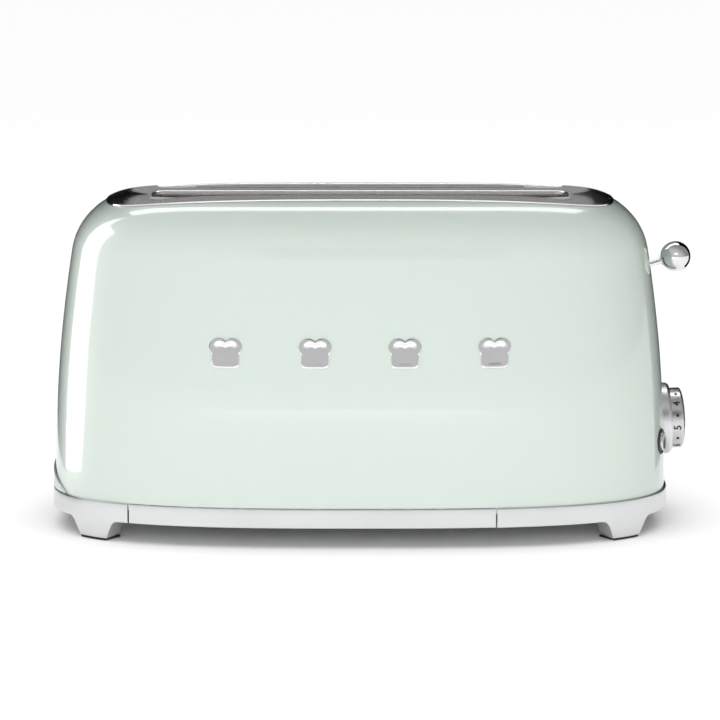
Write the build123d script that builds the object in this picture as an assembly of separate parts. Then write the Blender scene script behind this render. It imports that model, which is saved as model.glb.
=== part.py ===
from build123d import *
import os
from math import atan2, cos, hypot, pi, radians, sin, sqrt

# Long-slot pop-up toaster. Millimetres. +X towards the lever, -Y towards the front, +Z up.
# Everything is drawn about the middle of the base ring; the saved frame is moved along X, so that
# its origin lies on the worktop, under the middle of the whole toaster with its lever.

# ---- Overall sizes
RING_LENGTH = 394.0
RING_WIDTH = 208.0
FOOT_HEIGHT = 12.8
RING_HEIGHT = 12.3
BODY_HEIGHT = 211.6

# ---- Plan outline and side profile
PLAN_POWER = 2.9
POINTS_PER_QUARTER = 8
SIDE_RADIUS = 924.0
SHOULDER_RADIUS = 42.0
CROWN_ANGLE = 88.0
WALL_SECTIONS = 14
SHOULDER_SECTIONS = 6

# ---- Body shell
SHELL_STEP = 1.4
SHELL_WALL = 1.2
SHELL_SEAT = 4.1
TOP_OPENING_LAP = 2.5

# ---- Top plate and bread slots
PLATE_HALF_LENGTH = 160.5
PLATE_HALF_WIDTH = 60.0
PLATE_THICKNESS = 0.8
PLATE_POWER = 4.2
PLATE_GAP = 0.25
SLOT_LENGTH = 262.0
SLOT_WIDTH = 36.0
SLOT_PITCH = 58.0
SLOT_CORNER = 8.0
COLLAR_DEPTH = 11.6
COLLAR_WALL = 1.0

# ---- Base ring
RING_BEVEL = 0.9
RING_BAND = 6.5
RING_GROOVE = 0.5
LIP_WIDTH = 4.5
LIP_HEIGHT = 1.6
LEFT_SEAM_X = -143.6
RIGHT_SEAM_X = 84.4
SEAM_GAP = 0.8
STRIP_RECESS = 0.5
FLOOR_THICKNESS = 1.2

# ---- Feet
FOOT_MIDDLE_X = 168.0
FOOT_INNER_X = 146.0
FOOT_TOP_HALF = 25.0
FOOT_BOTTOM_HALF = 9.8
FOOT_DEPTH = 15.0
FOOT_DRAFT = 1.9
PAD_THICKNESS = 1.2

# ---- Chassis around the bread
CHASSIS_WALL = 1.0
CHASSIS_HALF_WIDTH = 60.0
CHASSIS_TOP = 192.0
CHASSIS_NECK_HALF = 50.0
CHASSIS_NECK_TOP = 203.0
CHASSIS_CLEAR = 5.5
REFLECTOR_THICKNESS = 0.6
BOARD_THICKNESS = 1.0
BOARD_BOTTOM = 62.0
BOARD_TOP = 190.0
OUTER_BOARD_STANDOFF = 4.5
INNER_BOARD_STANDOFF = 3.5
RIBBON_PITCH = 12.0
RIBBON_HEIGHT = 1.5
RIBBON_THICKNESS = 0.5

# ---- Bread guides
GUIDE_WIRE_R = 1.0
GUIDE_RAIL_R = 1.2
GUIDE_INSET = 2.5
GUIDE_TRAVEL = 7.0
GUIDE_PITCH = 18.0
GUIDE_LOW_Z = 58.0
GUIDE_HIGH_Z = 198.0
GUIDE_SLOT_CLEAR = 0.3

# ---- Lever and carriage
LEVER_Z = 163.7
LEVER_TILT = 18.0
LEVER_REACH = 18.3
LEVER_INSIDE = 18.0
LEVER_TRAVEL = 60.0
STEM_R = 1.5
BALL_R = 9.7
LEVER_SLOT_WIDTH = 4.0
LIFT_Z = 118.0
LIFT_BAR_HEIGHT = 9.0
LIFT_BAR_THICKNESS = 2.0
RUNG_HALF = 6.0
RUNG_PITCH = 18.0
CARRIAGE_HALF = 36.0
CARRIAGE_PLATE = 3.0
CARRIAGE_GAP = 3.5
ARM_HALF = 4.0
ARM_HEIGHT = 12.0
ROD_R = 2.5
ROD_CLEAR = 0.05
ROD_SPREAD = 24.0
ROD_BOSS_R = 5.0
TAB_THICKNESS = 2.0
TAB_LOW_Z = 34.0
TAB_HIGH_Z = 186.0
ARMATURE_THICKNESS = 2.0
ARMATURE_GAP = 0.3
SPRING_R = 3.0
SPRING_WIRE_R = 0.5
SPRING_TURNS = 9

# ---- Knob and buttons on the right end
KNOB_Z = 64.0
BEZEL_R = 23.0
BEZEL_TOP_R = 21.8
BEZEL_HEIGHT = 5.2
BEZEL_CHAMFER = 1.6
BEZEL_BORE_R = 19.9
KNOB_R = 19.5
KNOB_BASE = 1.6
KNOB_RIM = 12.6
KNOB_CROWN = 15.0
KNOB_WALL = 2.0
SHAFT_TIP = 8.6
SHAFT_R = 3.0
SHAFT_CLEAR = 0.05
CONTROL_R = 10.0
CONTROL_FACE = -8.0
SHAFT_DEPTH = 10.0
BUTTON_Y = 40.0
BUTTON_Z = 56.0
BUTTON_R = 6.0
BUTTON_GAP = 0.4
BUTTON_PROUD = 2.2
BUTTON_TRAVEL = 2.0
BUTTON_STEM_R = 1.8
BUTTON_RING_R = 8.3
BOARD_DEPTH = 27.0
BOARD_HALF = 56.0
BOARD_HIGH = 84.0
PCB_THICKNESS = 1.6

# ---- Crumb tray
TRAY_HALF = 44.0
TRAY_BOTTOM = 26.3
TRAY_RIM = 2.6
TRAY_WALL = 0.8
TRAY_END_CLEAR = 7.0
TRAY_SLOT_CLEAR = 0.5
HANDLE_HALF = 55.5
HANDLE_RISE = 13.4
HANDLE_GAP = 0.3
HANDLE_THICKNESS = 1.0

# ---- Front ornament, cord inlet, screws
TOKEN_WIDTH = 20.0
TOKEN_HEIGHT = 18.0
TOKEN_THICKNESS = 1.0
TOKEN_PITCH = 54.6
TOKEN_Z = 120.0
INLET_X = 40.0
INLET_Z = 38.0
INLET_R = 6.0
INLET_FLANGE_R = 8.5
INLET_BORE_R = 3.6
INLET_LENGTH = 16.0
SCREW_R = 1.5
SCREW_HEAD_R = 2.2
SCREW_HEAD_HEIGHT = 1.2
SCREW_LENGTH = 6.0

# ---- Worked out from the sizes above
RING_TOP = FOOT_HEIGHT + RING_HEIGHT
RING_A = RING_LENGTH / 2
RING_B = RING_WIDTH / 2
BODY_A = RING_A - SHELL_STEP
BODY_B = RING_B - SHELL_STEP
SEAT_Z = RING_TOP - SHELL_SEAT
SHOULDER_Z = BODY_HEIGHT - SHOULDER_RADIUS
SHOULDER_X = SIDE_RADIUS - sqrt((SIDE_RADIUS - SHOULDER_RADIUS) ** 2 - (SHOULDER_Z - RING_TOP) ** 2)
SHOULDER_ANGLE = atan2(SHOULDER_Z - RING_TOP, SIDE_RADIUS - SHOULDER_X)
SLOT_Y = SLOT_PITCH / 2
FLOOR_Z = FOOT_HEIGHT + LIP_HEIGHT
FLOOR_TOP = FLOOR_Z + FLOOR_THICKNESS
CHASSIS_X = SLOT_LENGTH / 2 + CHASSIS_CLEAR
CHASSIS_OUT = CHASSIS_X + CHASSIS_WALL
CARRIAGE_X = CHASSIS_OUT + CARRIAGE_GAP
ROD_X = CARRIAGE_X + CARRIAGE_PLATE + ROD_BOSS_R - 1.5
OUTER_GUIDE_Y = SLOT_Y + SLOT_WIDTH / 2 - GUIDE_INSET
INNER_GUIDE_Y = SLOT_Y - SLOT_WIDTH / 2 + GUIDE_INSET
OUTER_BOARD_Y = SLOT_Y + SLOT_WIDTH / 2 + OUTER_BOARD_STANDOFF
INNER_BOARD_Y = SLOT_Y - SLOT_WIDTH / 2 - INNER_BOARD_STANDOFF


def inset(z, depth=0.0):
    """How far the wall has leaned in from the body's foot at height z, for a skin this deep."""
    shoulder = SHOULDER_RADIUS - depth
    if z > SHOULDER_Z + shoulder * sin(SHOULDER_ANGLE):
        return SHOULDER_X - sqrt(shoulder ** 2 - (z - SHOULDER_Z) ** 2)
    return SIDE_RADIUS - sqrt((SIDE_RADIUS - depth) ** 2 - (z - RING_TOP) ** 2)


def outline(half_x, half_y, z, power=PLAN_POWER):
    """The rounded plan outline, a superellipse, as one closed smooth wire."""
    points = []
    for step in range(4 * POINTS_PER_QUARTER):
        angle = 2 * pi * step / (4 * POINTS_PER_QUARTER)
        x = half_x * abs(cos(angle)) ** (2 / power) * (1 if cos(angle) > 0 else -1)
        y = half_y * abs(sin(angle)) ** (2 / power) * (1 if sin(angle) > 0 else -1)
        points.append(Vector(x, y, z))
    return Wire([Edge.make_spline(points, periodic=True)])


def slab(half_x, half_y, low, high, power=PLAN_POWER):
    """A straight-sided solid on the plan outline."""
    return extrude(Face(outline(half_x, half_y, low, power)), amount=high - low)


def plate_slab(lap):
    """The straight-sided solid inside the top plate's outline, a given lap inside its edge."""
    return slab(PLATE_HALF_LENGTH - lap, PLATE_HALF_WIDTH - lap, SHOULDER_Z, BODY_HEIGHT + 5, PLATE_POWER)


def skin(depth, low):
    """The solid inside the body's surface, a given depth below it, from height low to the crown."""
    turn = SHOULDER_Z + (SHOULDER_RADIUS - depth) * sin(SHOULDER_ANGLE)
    levels = [low + (turn - low) * step / WALL_SECTIONS for step in range(WALL_SECTIONS)]
    sections = [outline(BODY_A - inset(z, depth), BODY_B - inset(z, depth), z) for z in levels]
    for step in range(SHOULDER_SECTIONS + 1):
        angle = SHOULDER_ANGLE + (radians(CROWN_ANGLE) - SHOULDER_ANGLE) * step / SHOULDER_SECTIONS
        lean = SHOULDER_X - (SHOULDER_RADIUS - depth) * cos(angle)
        z = SHOULDER_Z + (SHOULDER_RADIUS - depth) * sin(angle)
        sections.append(outline(BODY_A - lean, BODY_B - lean, z))
    return Solid.make_loft(sections)


def block(x, y, z):
    """A box from three (low, high) pairs."""
    size = [high - low for low, high in (x, y, z)]
    middle = [(low + high) / 2 for low, high in (x, y, z)]
    return Pos(*middle) * Box(*size)


def post(x, y, low, high, radius):
    return Pos(x, y, (low + high) / 2) * Cylinder(radius, high - low)


def group(shapes):
    return Compound([solid for shape in shapes for solid in shape.solids()])


def end_wall(y, z):
    """A plane on the right end wall at (y, z), its z_dir along the wall's outward normal."""
    half_x = BODY_A - inset(z)
    half_y = BODY_B - inset(z)
    x = half_x * (1 - abs(y / half_y) ** PLAN_POWER) ** (1 / PLAN_POWER)
    slope_x = (x / half_x) ** (PLAN_POWER - 1) / half_x
    slope_y = abs(y / half_y) ** (PLAN_POWER - 1) / half_y * (1 if y > 0 else -1)
    slope_z = hypot(slope_x, slope_y) * (z - RING_TOP) / SIDE_RADIUS
    return Plane(origin=(x, y, z), x_dir=(-slope_y, slope_x, 0), z_dir=(slope_x, slope_y, slope_z))


KNOB_PLANE = end_wall(0, KNOB_Z)
BUTTON_PLANES = {"defrost_button": end_wall(-BUTTON_Y, BUTTON_Z),
                 "cancel_button": end_wall(BUTTON_Y, BUTTON_Z)}
PCB_X = KNOB_PLANE.origin.X - BOARD_DEPTH
LEVER_WALL_X = BODY_A - inset(LEVER_Z)
LEVER_DIRECTION = Vector(cos(radians(LEVER_TILT)), 0, sin(radians(LEVER_TILT)))
BALL_CENTRE = Vector(LEVER_WALL_X, 0, LEVER_Z) + LEVER_DIRECTION * LEVER_REACH
STEM_END = Vector(LEVER_WALL_X, 0, LEVER_Z) - LEVER_DIRECTION * LEVER_INSIDE
FRAME_SHIFT = (BALL_CENTRE.X + BALL_R - RING_A) / 2

OUTER = skin(0, SEAT_Z)
INNER = skin(SHELL_WALL, SEAT_Z - 1)
PROUD = skin(-HANDLE_GAP, SEAT_Z)


def save(name, shape):
    shape = Pos(-FRAME_SHIFT, 0, 0) * shape
    export_step(shape, f"parts/{name}.step")


def rod_between(start, end, radius):
    along = Vector(end) - Vector(start)
    middle = (Vector(start) + Vector(end)) * 0.5
    return Plane(origin=middle, z_dir=along) * Cylinder(radius, along.length)


# ---- Outside ---------------------------------------------------------------------------------
def lever_slot(depth_in):
    half = LEVER_SLOT_WIDTH / 2
    height = (LEVER_Z - LEVER_TRAVEL - 3.5, LEVER_Z + 4.0)
    slot = block((LEVER_WALL_X - depth_in, RING_A), (-half, half), height)
    return fillet(slot.edges().filter_by(Axis.X), half - 0.01)


def body_shell():
    shell = OUTER - INNER
    shell -= plate_slab(TOP_OPENING_LAP)
    shell -= lever_slot(20)
    shell -= KNOB_PLANE * Cylinder(BEZEL_BORE_R, 4 * BEZEL_HEIGHT)
    for plane in BUTTON_PLANES.values():
        shell -= plane * Cylinder(BUTTON_RING_R, 12)
    reach = TRAY_HALF + TRAY_SLOT_CLEAR
    shell -= block((-RING_A, -RING_A + 40), (-reach, reach),
                   (TRAY_BOTTOM - TRAY_SLOT_CLEAR, TRAY_BOTTOM + TRAY_RIM + TRAY_SLOT_CLEAR))
    shell -= Pos(INLET_X, BODY_B - 5, INLET_Z) * Rot(90, 0, 0) * Cylinder(INLET_R, 30)
    return shell


def slot_outline(grow=0.0):
    return RectangleRounded(SLOT_LENGTH + 2 * grow, SLOT_WIDTH + 2 * grow, SLOT_CORNER + grow)


def top_plate():
    over = skin(-PLATE_GAP - PLATE_THICKNESS, SEAT_Z)
    plate = over & plate_slab(0)
    plate -= skin(-PLATE_GAP, SEAT_Z)
    for side in (-1, 1):
        collar = extrude(slot_outline(COLLAR_WALL) - slot_outline(), amount=COLLAR_DEPTH)
        plate += Pos(0, side * SLOT_Y, BODY_HEIGHT - COLLAR_DEPTH + 0.3) * collar
        plate -= Pos(0, side * SLOT_Y, SHOULDER_Z) * extrude(slot_outline(), amount=BODY_HEIGHT)
    return plate


def ring_solid(step):
    """The ring's bevelled outer form, pulled in by a step."""
    a, b = RING_A - step, RING_B - step
    levels = [(RING_BEVEL * 0.6, FOOT_HEIGHT), (0, FOOT_HEIGHT + RING_BEVEL * 0.6),
              (0, RING_TOP - RING_BEVEL), (RING_BEVEL, RING_TOP)]
    return Solid.make_loft([outline(a - pull, b - pull, z) for pull, z in levels], ruled=True)


def ring_band(step):
    """The ring with the lip that carries the floor, and the rebate that takes the shell's lower edge."""
    lip = RING_BAND + LIP_WIDTH
    band = ring_solid(step)
    band -= slab(RING_A - lip, RING_B - lip, FOOT_HEIGHT - 1, RING_TOP + 1)
    band -= slab(RING_A - RING_BAND, RING_B - RING_BAND, FLOOR_Z, RING_TOP + 1)
    return band - slab(BODY_A + RING_GROOVE, BODY_B + RING_GROOVE, SEAT_Z, RING_TOP + 1)


def foot(side_x, side_y):
    """One foot: it follows the ring's curve and narrows downwards with hollow flanks."""
    middle_y = RING_B * (1 - (FOOT_MIDDLE_X / RING_A) ** PLAN_POWER) ** (1 / PLAN_POWER)
    slope_x = (FOOT_MIDDLE_X / RING_A) ** (PLAN_POWER - 1) / RING_A
    slope_y = (middle_y / RING_B) ** (PLAN_POWER - 1) / RING_B
    half, low = FOOT_TOP_HALF, FOOT_BOTTOM_HALF
    top = FOOT_HEIGHT + 0.5
    bend = ((half + 2 * low) / 3, FOOT_HEIGHT * 0.62)
    flank = [Line((-low, 0), (low, 0)), ThreePointArc((low, 0), bend, (half, top)),
             Line((half, top), (-half, top)), ThreePointArc((-half, top), (-bend[0], bend[1]), (-low, 0))]
    face = Plane(origin=(FOOT_MIDDLE_X, middle_y, 0), x_dir=(-slope_y, slope_x, 0),
                 z_dir=(slope_x, slope_y, 0))
    plug = extrude(face * make_face(flank), amount=60, both=True)
    pull = RING_BEVEL * 0.6
    rim = Solid.make_loft([outline(RING_A - FOOT_DRAFT, RING_B - FOOT_DRAFT, 0),
                           outline(RING_A - pull, RING_B - pull, top)], ruled=True)
    rim -= slab(RING_A - FOOT_DEPTH, RING_B - FOOT_DEPTH, -1, top + 1)
    shape = (rim & plug) & block((FOOT_INNER_X, RING_A), (0, RING_B), (0, FOOT_HEIGHT + 0.2))
    if side_x < 0:
        shape = mirror(shape, about=Plane.YZ)
    if side_y < 0:
        shape = mirror(shape, about=Plane.XZ)
    return shape


def base_end(low_x, high_x, feet):
    casting = ring_band(0) & block((low_x, high_x), (-RING_B - 1, RING_B + 1), (0, RING_TOP + 1))
    for piece in feet:
        casting += piece - block((-RING_A, RING_A), (-RING_B, RING_B), (-1, PAD_THICKNESS))
    return casting


def base_strip(side):
    reach = sorted((0, side * (RING_B + 1)))
    return ring_band(STRIP_RECESS) & block((LEFT_SEAM_X + SEAM_GAP, RIGHT_SEAM_X - SEAM_GAP), reach,
                                           (0, RING_TOP + 1))


def screw_places():
    """Eight points on the lip, clear of the feet and the seams."""
    lip = RING_BAND + LIP_WIDTH / 2
    places = []
    for share in (0.22, 0.66):
        for side_x in (-1, 1):
            for side_y in (-1, 1):
                x = (RING_A - lip) * share * side_x
                y = (RING_B - lip) * (1 - share ** PLAN_POWER) ** (1 / PLAN_POWER) * side_y
                places.append((x, y))
    return places


def bottom_plate():
    plate = slab(RING_A - RING_BAND - 0.2, RING_B - RING_BAND - 0.2, FLOOR_Z, FLOOR_TOP)
    for row in range(-2, 3):
        for column in range(-4, 5):
            vent = extrude(SlotOverall(18, 3.6), amount=10)
            plate -= Pos(26 * column, 13 * row, FLOOR_Z - 5) * vent
    for x, y in screw_places():
        plate -= post(x, y, FLOOR_Z - 2, FLOOR_TOP + 1, SCREW_R + 0.1)
    return plate


def screw_clearance(piece):
    for x, y in screw_places():
        piece -= post(x, y, FOOT_HEIGHT - 1, FLOOR_Z + 0.1, SCREW_R + 0.1)
    return piece


def housing_screws():
    screws = []
    for x, y in screw_places():
        screws.append(post(x, y, FOOT_HEIGHT - SCREW_HEAD_HEIGHT, FOOT_HEIGHT, SCREW_HEAD_R)
                      + post(x, y, FOOT_HEIGHT - 0.2, FOOT_HEIGHT + SCREW_LENGTH, SCREW_R))
    return group(screws)


def front_tokens():
    """Four small slice-of-bread ornaments that follow the front wall."""
    half, crown = TOKEN_WIDTH / 2, TOKEN_HEIGHT / 2
    sheet = skin(-TOKEN_THICKNESS, SEAT_Z) - OUTER
    tokens = []
    for step in (-1.5, -0.5, 0.5, 1.5):
        loaf = Pos(0, -1) * RectangleRounded(TOKEN_WIDTH * 0.84, TOKEN_HEIGHT - 2, 2.0)
        for lobe in (-1, 1):
            loaf += Pos(lobe * half * 0.42, crown * 0.42) * Circle(half * 0.58)
        loaf += Pos(0, crown * 0.5) * Rectangle(half * 0.9, crown)
        front = Plane(origin=(TOKEN_PITCH * step, -RING_B / 2, TOKEN_Z), x_dir=(1, 0, 0), z_dir=(0, -1, 0))
        tokens.append(sheet & extrude(front * loaf, amount=RING_B))
    return group(tokens)


def lever_track():
    low = LEVER_Z - LEVER_TRAVEL - 9
    track = skin(SHELL_WALL + 0.05, SEAT_Z) - skin(SHELL_WALL + 1.55, SEAT_Z - 1)
    track &= block((0, RING_A), (-8, 8), (low, LEVER_Z + 8))
    return track - lever_slot(25)


def cord_inlet():
    """The empty bush where the mains lead would enter."""
    wall = Pos(INLET_X, BODY_B - inset(INLET_Z), INLET_Z) * Rot(90, 0, 0)
    bush = wall * Pos(0, 0, INLET_LENGTH / 2 - 2) * Cylinder(INLET_R - 0.1, INLET_LENGTH)
    bush += wall * Pos(0, 0, -0.5) * Cylinder(INLET_FLANGE_R, 3.0) - OUTER
    return bush - wall * Cylinder(INLET_BORE_R, 4 * INLET_LENGTH)


# ---- Chassis ---------------------------------------------------------------------------------
def chassis_end(side):
    x = (CHASSIS_X, CHASSIS_OUT) if side > 0 else (-CHASSIS_OUT, -CHASSIS_X)
    half = CHASSIS_HALF_WIDTH
    leg_clear = TRAY_BOTTOM + TRAY_RIM + 3
    plate = block(x, (-half, half), (leg_clear, CHASSIS_TOP))
    plate += block(x, (-CHASSIS_NECK_HALF, CHASSIS_NECK_HALF), (CHASSIS_TOP, CHASSIS_NECK_TOP))
    for hand in (-1, 1):
        leg = sorted((hand * (TRAY_HALF + 4), hand * half))
        plate += block(x, leg, (FLOOR_TOP, leg_clear))
        bar = (hand * SLOT_Y - LIFT_BAR_THICKNESS / 2 - 1, hand * SLOT_Y + LIFT_BAR_THICKNESS / 2 + 1)
        plate -= block((x[0] - 1, x[1] + 1), bar, (LIFT_Z - LEVER_TRAVEL - 3, LIFT_Z + LIFT_BAR_HEIGHT + 3))
        reach = GUIDE_RAIL_R + GUIDE_SLOT_CLEAR
        for z in (GUIDE_LOW_Z, GUIDE_HIGH_Z):
            for start, end in ((INNER_GUIDE_Y, INNER_GUIDE_Y + GUIDE_TRAVEL),
                               (OUTER_GUIDE_Y - GUIDE_TRAVEL, OUTER_GUIDE_Y)):
                run = sorted((hand * (start - reach), hand * (end + reach)))
                plate -= block((x[0] - 1, x[1] + 1), run, (z - reach, z + reach))
    for z in (TAB_LOW_Z, TAB_HIGH_Z):
        tab = sorted((side * CHASSIS_OUT, side * (ROD_X + ROD_BOSS_R)))
        plate += block(tab, (-ROD_SPREAD - 6, ROD_SPREAD + 6), (z, z + TAB_THICKNESS))
    return plate


def reflector(side):
    y = sorted((side * (OUTER_BOARD_Y + 5.5), side * (OUTER_BOARD_Y + 5.5 + REFLECTOR_THICKNESS)))
    return block((-CHASSIS_X, CHASSIS_X), y, (36, CHASSIS_TOP))


def heater_board(y, facing):
    """A mica board; facing is +1 where its bread side looks towards +Y."""
    back = y - facing * BOARD_THICKNESS
    return block((-CHASSIS_X, CHASSIS_X), sorted((y, back)), (BOARD_BOTTOM, BOARD_TOP))


def heater_ribbons(y, facing):
    ribbons = []
    count = int((BOARD_TOP - BOARD_BOTTOM - 8) // RIBBON_PITCH) + 1
    for step in range(count):
        z = BOARD_BOTTOM + 4 + RIBBON_PITCH * step
        ribbons.append(block((-CHASSIS_X + 8, CHASSIS_X - 8), sorted((y, y + facing * RIBBON_THICKNESS)),
                             (z, z + RIBBON_HEIGHT)))
    return group(ribbons)


def guide_rods():
    low, high = TAB_LOW_Z + TAB_THICKNESS, TAB_HIGH_Z
    places = [(ROD_X, -ROD_SPREAD), (ROD_X, ROD_SPREAD), (-ROD_X, 0)]
    return group([post(x, y, low, high, ROD_R) for x, y in places])


def tray_rails():
    rails = []
    for hand in (-1, 1):
        rails.append(block((-CHASSIS_X, CHASSIS_X), sorted((hand * (TRAY_HALF - 4), hand * (TRAY_HALF - 1))),
                           (FLOOR_TOP, TRAY_BOTTOM - 0.1)))
    return group(rails)


# ---- Bread guides ----------------------------------------------------------------------------
def bread_guide(y):
    reach = CHASSIS_OUT + 1.5
    guide = rod_between((-reach, y, GUIDE_LOW_Z), (reach, y, GUIDE_LOW_Z), GUIDE_RAIL_R)
    guide += rod_between((-reach, y, GUIDE_HIGH_Z), (reach, y, GUIDE_HIGH_Z), GUIDE_RAIL_R)
    count = int((SLOT_LENGTH - 8) // GUIDE_PITCH) + 1
    for step in range(count):
        x = GUIDE_PITCH * (step - (count - 1) / 2)
        guide += post(x, y, GUIDE_LOW_Z, GUIDE_HIGH_Z, GUIDE_WIRE_R)
    return guide


# ---- Lever, carriage and lift ----------------------------------------------------------------
def carriage():
    top = STEM_END.Z + ARM_HEIGHT / 2
    plate = block((CARRIAGE_X, CARRIAGE_X + CARRIAGE_PLATE), (-CARRIAGE_HALF, CARRIAGE_HALF), (LIFT_Z, top))
    plate += block((CARRIAGE_X, STEM_END.X + 4), (-ARM_HALF, ARM_HALF), (top - ARM_HEIGHT, top))
    for hand in (-1, 1):
        plate += post(ROD_X, hand * ROD_SPREAD, LIFT_Z, top, ROD_BOSS_R)
        plate -= post(ROD_X, hand * ROD_SPREAD, LIFT_Z - 1, top + 1, ROD_R + ROD_CLEAR)
    return plate - rod_between(STEM_END, BALL_CENTRE, STEM_R)


def lift_crossbar():
    high = LIFT_Z + LIFT_BAR_HEIGHT + 3
    bar = block((-CARRIAGE_X - CARRIAGE_PLATE, -CARRIAGE_X), (-CARRIAGE_HALF, CARRIAGE_HALF), (LIFT_Z, high))
    bar += post(-ROD_X, 0, LIFT_Z, high, ROD_BOSS_R)
    return bar - post(-ROD_X, 0, LIFT_Z - 1, high + 1, ROD_R + ROD_CLEAR)


def bread_lift(side):
    """The bar with rungs that the slices stand on, from the carriage to the crossbar."""
    y = side * SLOT_Y
    half = LIFT_BAR_THICKNESS / 2
    top = LIFT_Z + LIFT_BAR_HEIGHT
    bar = block((-CARRIAGE_X, CARRIAGE_X), (y - half, y + half), (LIFT_Z, top))
    count = int((SLOT_LENGTH - 10) // RUNG_PITCH) + 1
    for step in range(count):
        x = RUNG_PITCH * (step - (count - 1) / 2)
        bar += block((x - half, x + half), (y - RUNG_HALF, y + RUNG_HALF), (top - 2 * half, top))
    return bar


def lever_stem():
    return rod_between(STEM_END, BALL_CENTRE, STEM_R)


def lever_ball():
    return Pos(*BALL_CENTRE) * Sphere(BALL_R) - rod_between(STEM_END, BALL_CENTRE, STEM_R)


def spring_span():
    return STEM_END.Z + ARM_HEIGHT / 2, TAB_HIGH_Z


def lift_spring():
    low, high = spring_span()
    length = high - low - 2 * SPRING_WIRE_R
    coil = Helix(pitch=length / SPRING_TURNS, height=length, radius=SPRING_R)
    wire = sweep(Plane(origin=coil @ 0, z_dir=coil % 0) * Circle(SPRING_WIRE_R), path=coil)
    return Pos(ROD_X, 0, low + SPRING_WIRE_R) * wire


def latch_armature():
    return block((CARRIAGE_X, CARRIAGE_X + 12), (-16, -6), (LIFT_Z - ARMATURE_THICKNESS, LIFT_Z))


def latch_magnet():
    """The core and coil that hold the armature down; they stand on the chassis tab."""
    top = LIFT_Z - ARMATURE_THICKNESS - LEVER_TRAVEL - ARMATURE_GAP
    core = block((CARRIAGE_X, CARRIAGE_X + 12), (-16, -6), (TAB_LOW_Z + TAB_THICKNESS, top))
    core += block((CARRIAGE_X, CARRIAGE_X + 12), (-18, -3), (TAB_LOW_Z + TAB_THICKNESS + 2, top - 3))
    return core


# ---- Knob, buttons and electronics -----------------------------------------------------------
def knob_bezel():
    shoulder = BEZEL_HEIGHT - BEZEL_CHAMFER
    section = Polyline((BEZEL_BORE_R, -6), (BEZEL_R, -6), (BEZEL_R, shoulder), (BEZEL_TOP_R, BEZEL_HEIGHT),
                       (BEZEL_BORE_R, BEZEL_HEIGHT), close=True)
    return KNOB_PLANE * revolve(Plane.XZ * make_face(section), Axis.Z) - OUTER


def browning_knob():
    """A hollow cap with a domed face and a hub bored for its shaft."""
    hub, skirt, rim = SHAFT_R + 2.5, KNOB_R - KNOB_WALL, KNOB_R - 1.2
    roof = KNOB_RIM - 3 * KNOB_WALL / 2
    rise = KNOB_CROWN - KNOB_RIM
    dome = (rim ** 2 + rise ** 2) / (2 * rise)
    side = make_face(Polyline((0, KNOB_BASE), (KNOB_R, KNOB_BASE), (KNOB_R, KNOB_RIM - 1.2), (rim, KNOB_RIM),
                              (rim, KNOB_CROWN + 1), (0, KNOB_CROWN + 1), close=True))
    body = revolve(Plane.XZ * side, Axis.Z) & Pos(0, 0, KNOB_CROWN - dome) * Sphere(dome)
    hollow = Pos(0, 0, (KNOB_BASE + roof - 1) / 2) * (Cylinder(skirt, roof - KNOB_BASE + 1)
                                                      - Cylinder(hub, roof - KNOB_BASE + 1))
    bore = Pos(0, 0, SHAFT_TIP / 2) * Cylinder(SHAFT_R, SHAFT_TIP)
    return KNOB_PLANE * (body - hollow - bore)


def knob_shaft():
    low = CONTROL_FACE - SHAFT_DEPTH
    return KNOB_PLANE * Pos(0, 0, (low + SHAFT_TIP) / 2) * Cylinder(SHAFT_R, SHAFT_TIP - low)


def behind(plane, start, end, radius):
    """A cylinder on a plane's axis between two heights, cut off at the circuit board's face."""
    shape = plane * Pos(0, 0, (start + end) / 2) * Cylinder(radius, end - start)
    return shape - block((0, PCB_X), (-RING_B, RING_B), (0, BODY_HEIGHT))


def browning_control():
    body = behind(KNOB_PLANE, -BOARD_DEPTH - 4, CONTROL_FACE, CONTROL_R)
    bore = Pos(0, 0, CONTROL_FACE) * Cylinder(SHAFT_R + SHAFT_CLEAR, 2 * SHAFT_DEPTH + 1)
    return body - KNOB_PLANE * bore


def button(plane):
    cap = Cylinder(BUTTON_R, 8, align=(Align.CENTER, Align.CENTER, Align.MAX))
    cap = fillet(cap.edges().sort_by(Axis.Z)[-1], 0.8)
    stem = Pos(0, 0, -7.5) * Cylinder(BUTTON_STEM_R, 8.5, align=(Align.CENTER, Align.CENTER, Align.MAX))
    return plane * Pos(0, 0, BUTTON_PROUD) * (cap + stem)


def button_ring(plane):
    ring = Pos(0, 0, 0.9) * Cylinder(BUTTON_RING_R - 0.1, 9, align=(Align.CENTER, Align.CENTER, Align.MAX))
    return plane * (ring - Cylinder(BUTTON_R + BUTTON_GAP, 30))


def button_switch(plane):
    face = BUTTON_PROUD - 16 - BUTTON_TRAVEL - 0.1
    return behind(plane, -BOARD_DEPTH - 8, face, 3.5)


def control_board():
    return block((PCB_X - PCB_THICKNESS, PCB_X), (-BOARD_HALF, BOARD_HALF), (FLOOR_TOP, BOARD_HIGH))


def board_bracket():
    feet = []
    back = PCB_X - PCB_THICKNESS
    for hand in (-1, 1):
        across = sorted((hand * 40, hand * 50))
        feet.append(block((back - 8, back), across, (FLOOR_TOP, FLOOR_TOP + 2))
                    + block((back - 2, back), across, (FLOOR_TOP, FLOOR_TOP + 14)))
    return group(feet)


def power_relay():
    return block((PCB_X - PCB_THICKNESS - 9, PCB_X - PCB_THICKNESS), (14, 34), (44, 60))


def terminal_block():
    block_body = block((INLET_X - 14, INLET_X + 14), (66, 80), (FLOOR_TOP, FLOOR_TOP + 12))
    for step in (-1, 0, 1):
        block_body -= post(INLET_X + 9 * step, 73, FLOOR_TOP + 6, FLOOR_TOP + 13, 2.4)
    return block_body


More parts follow.
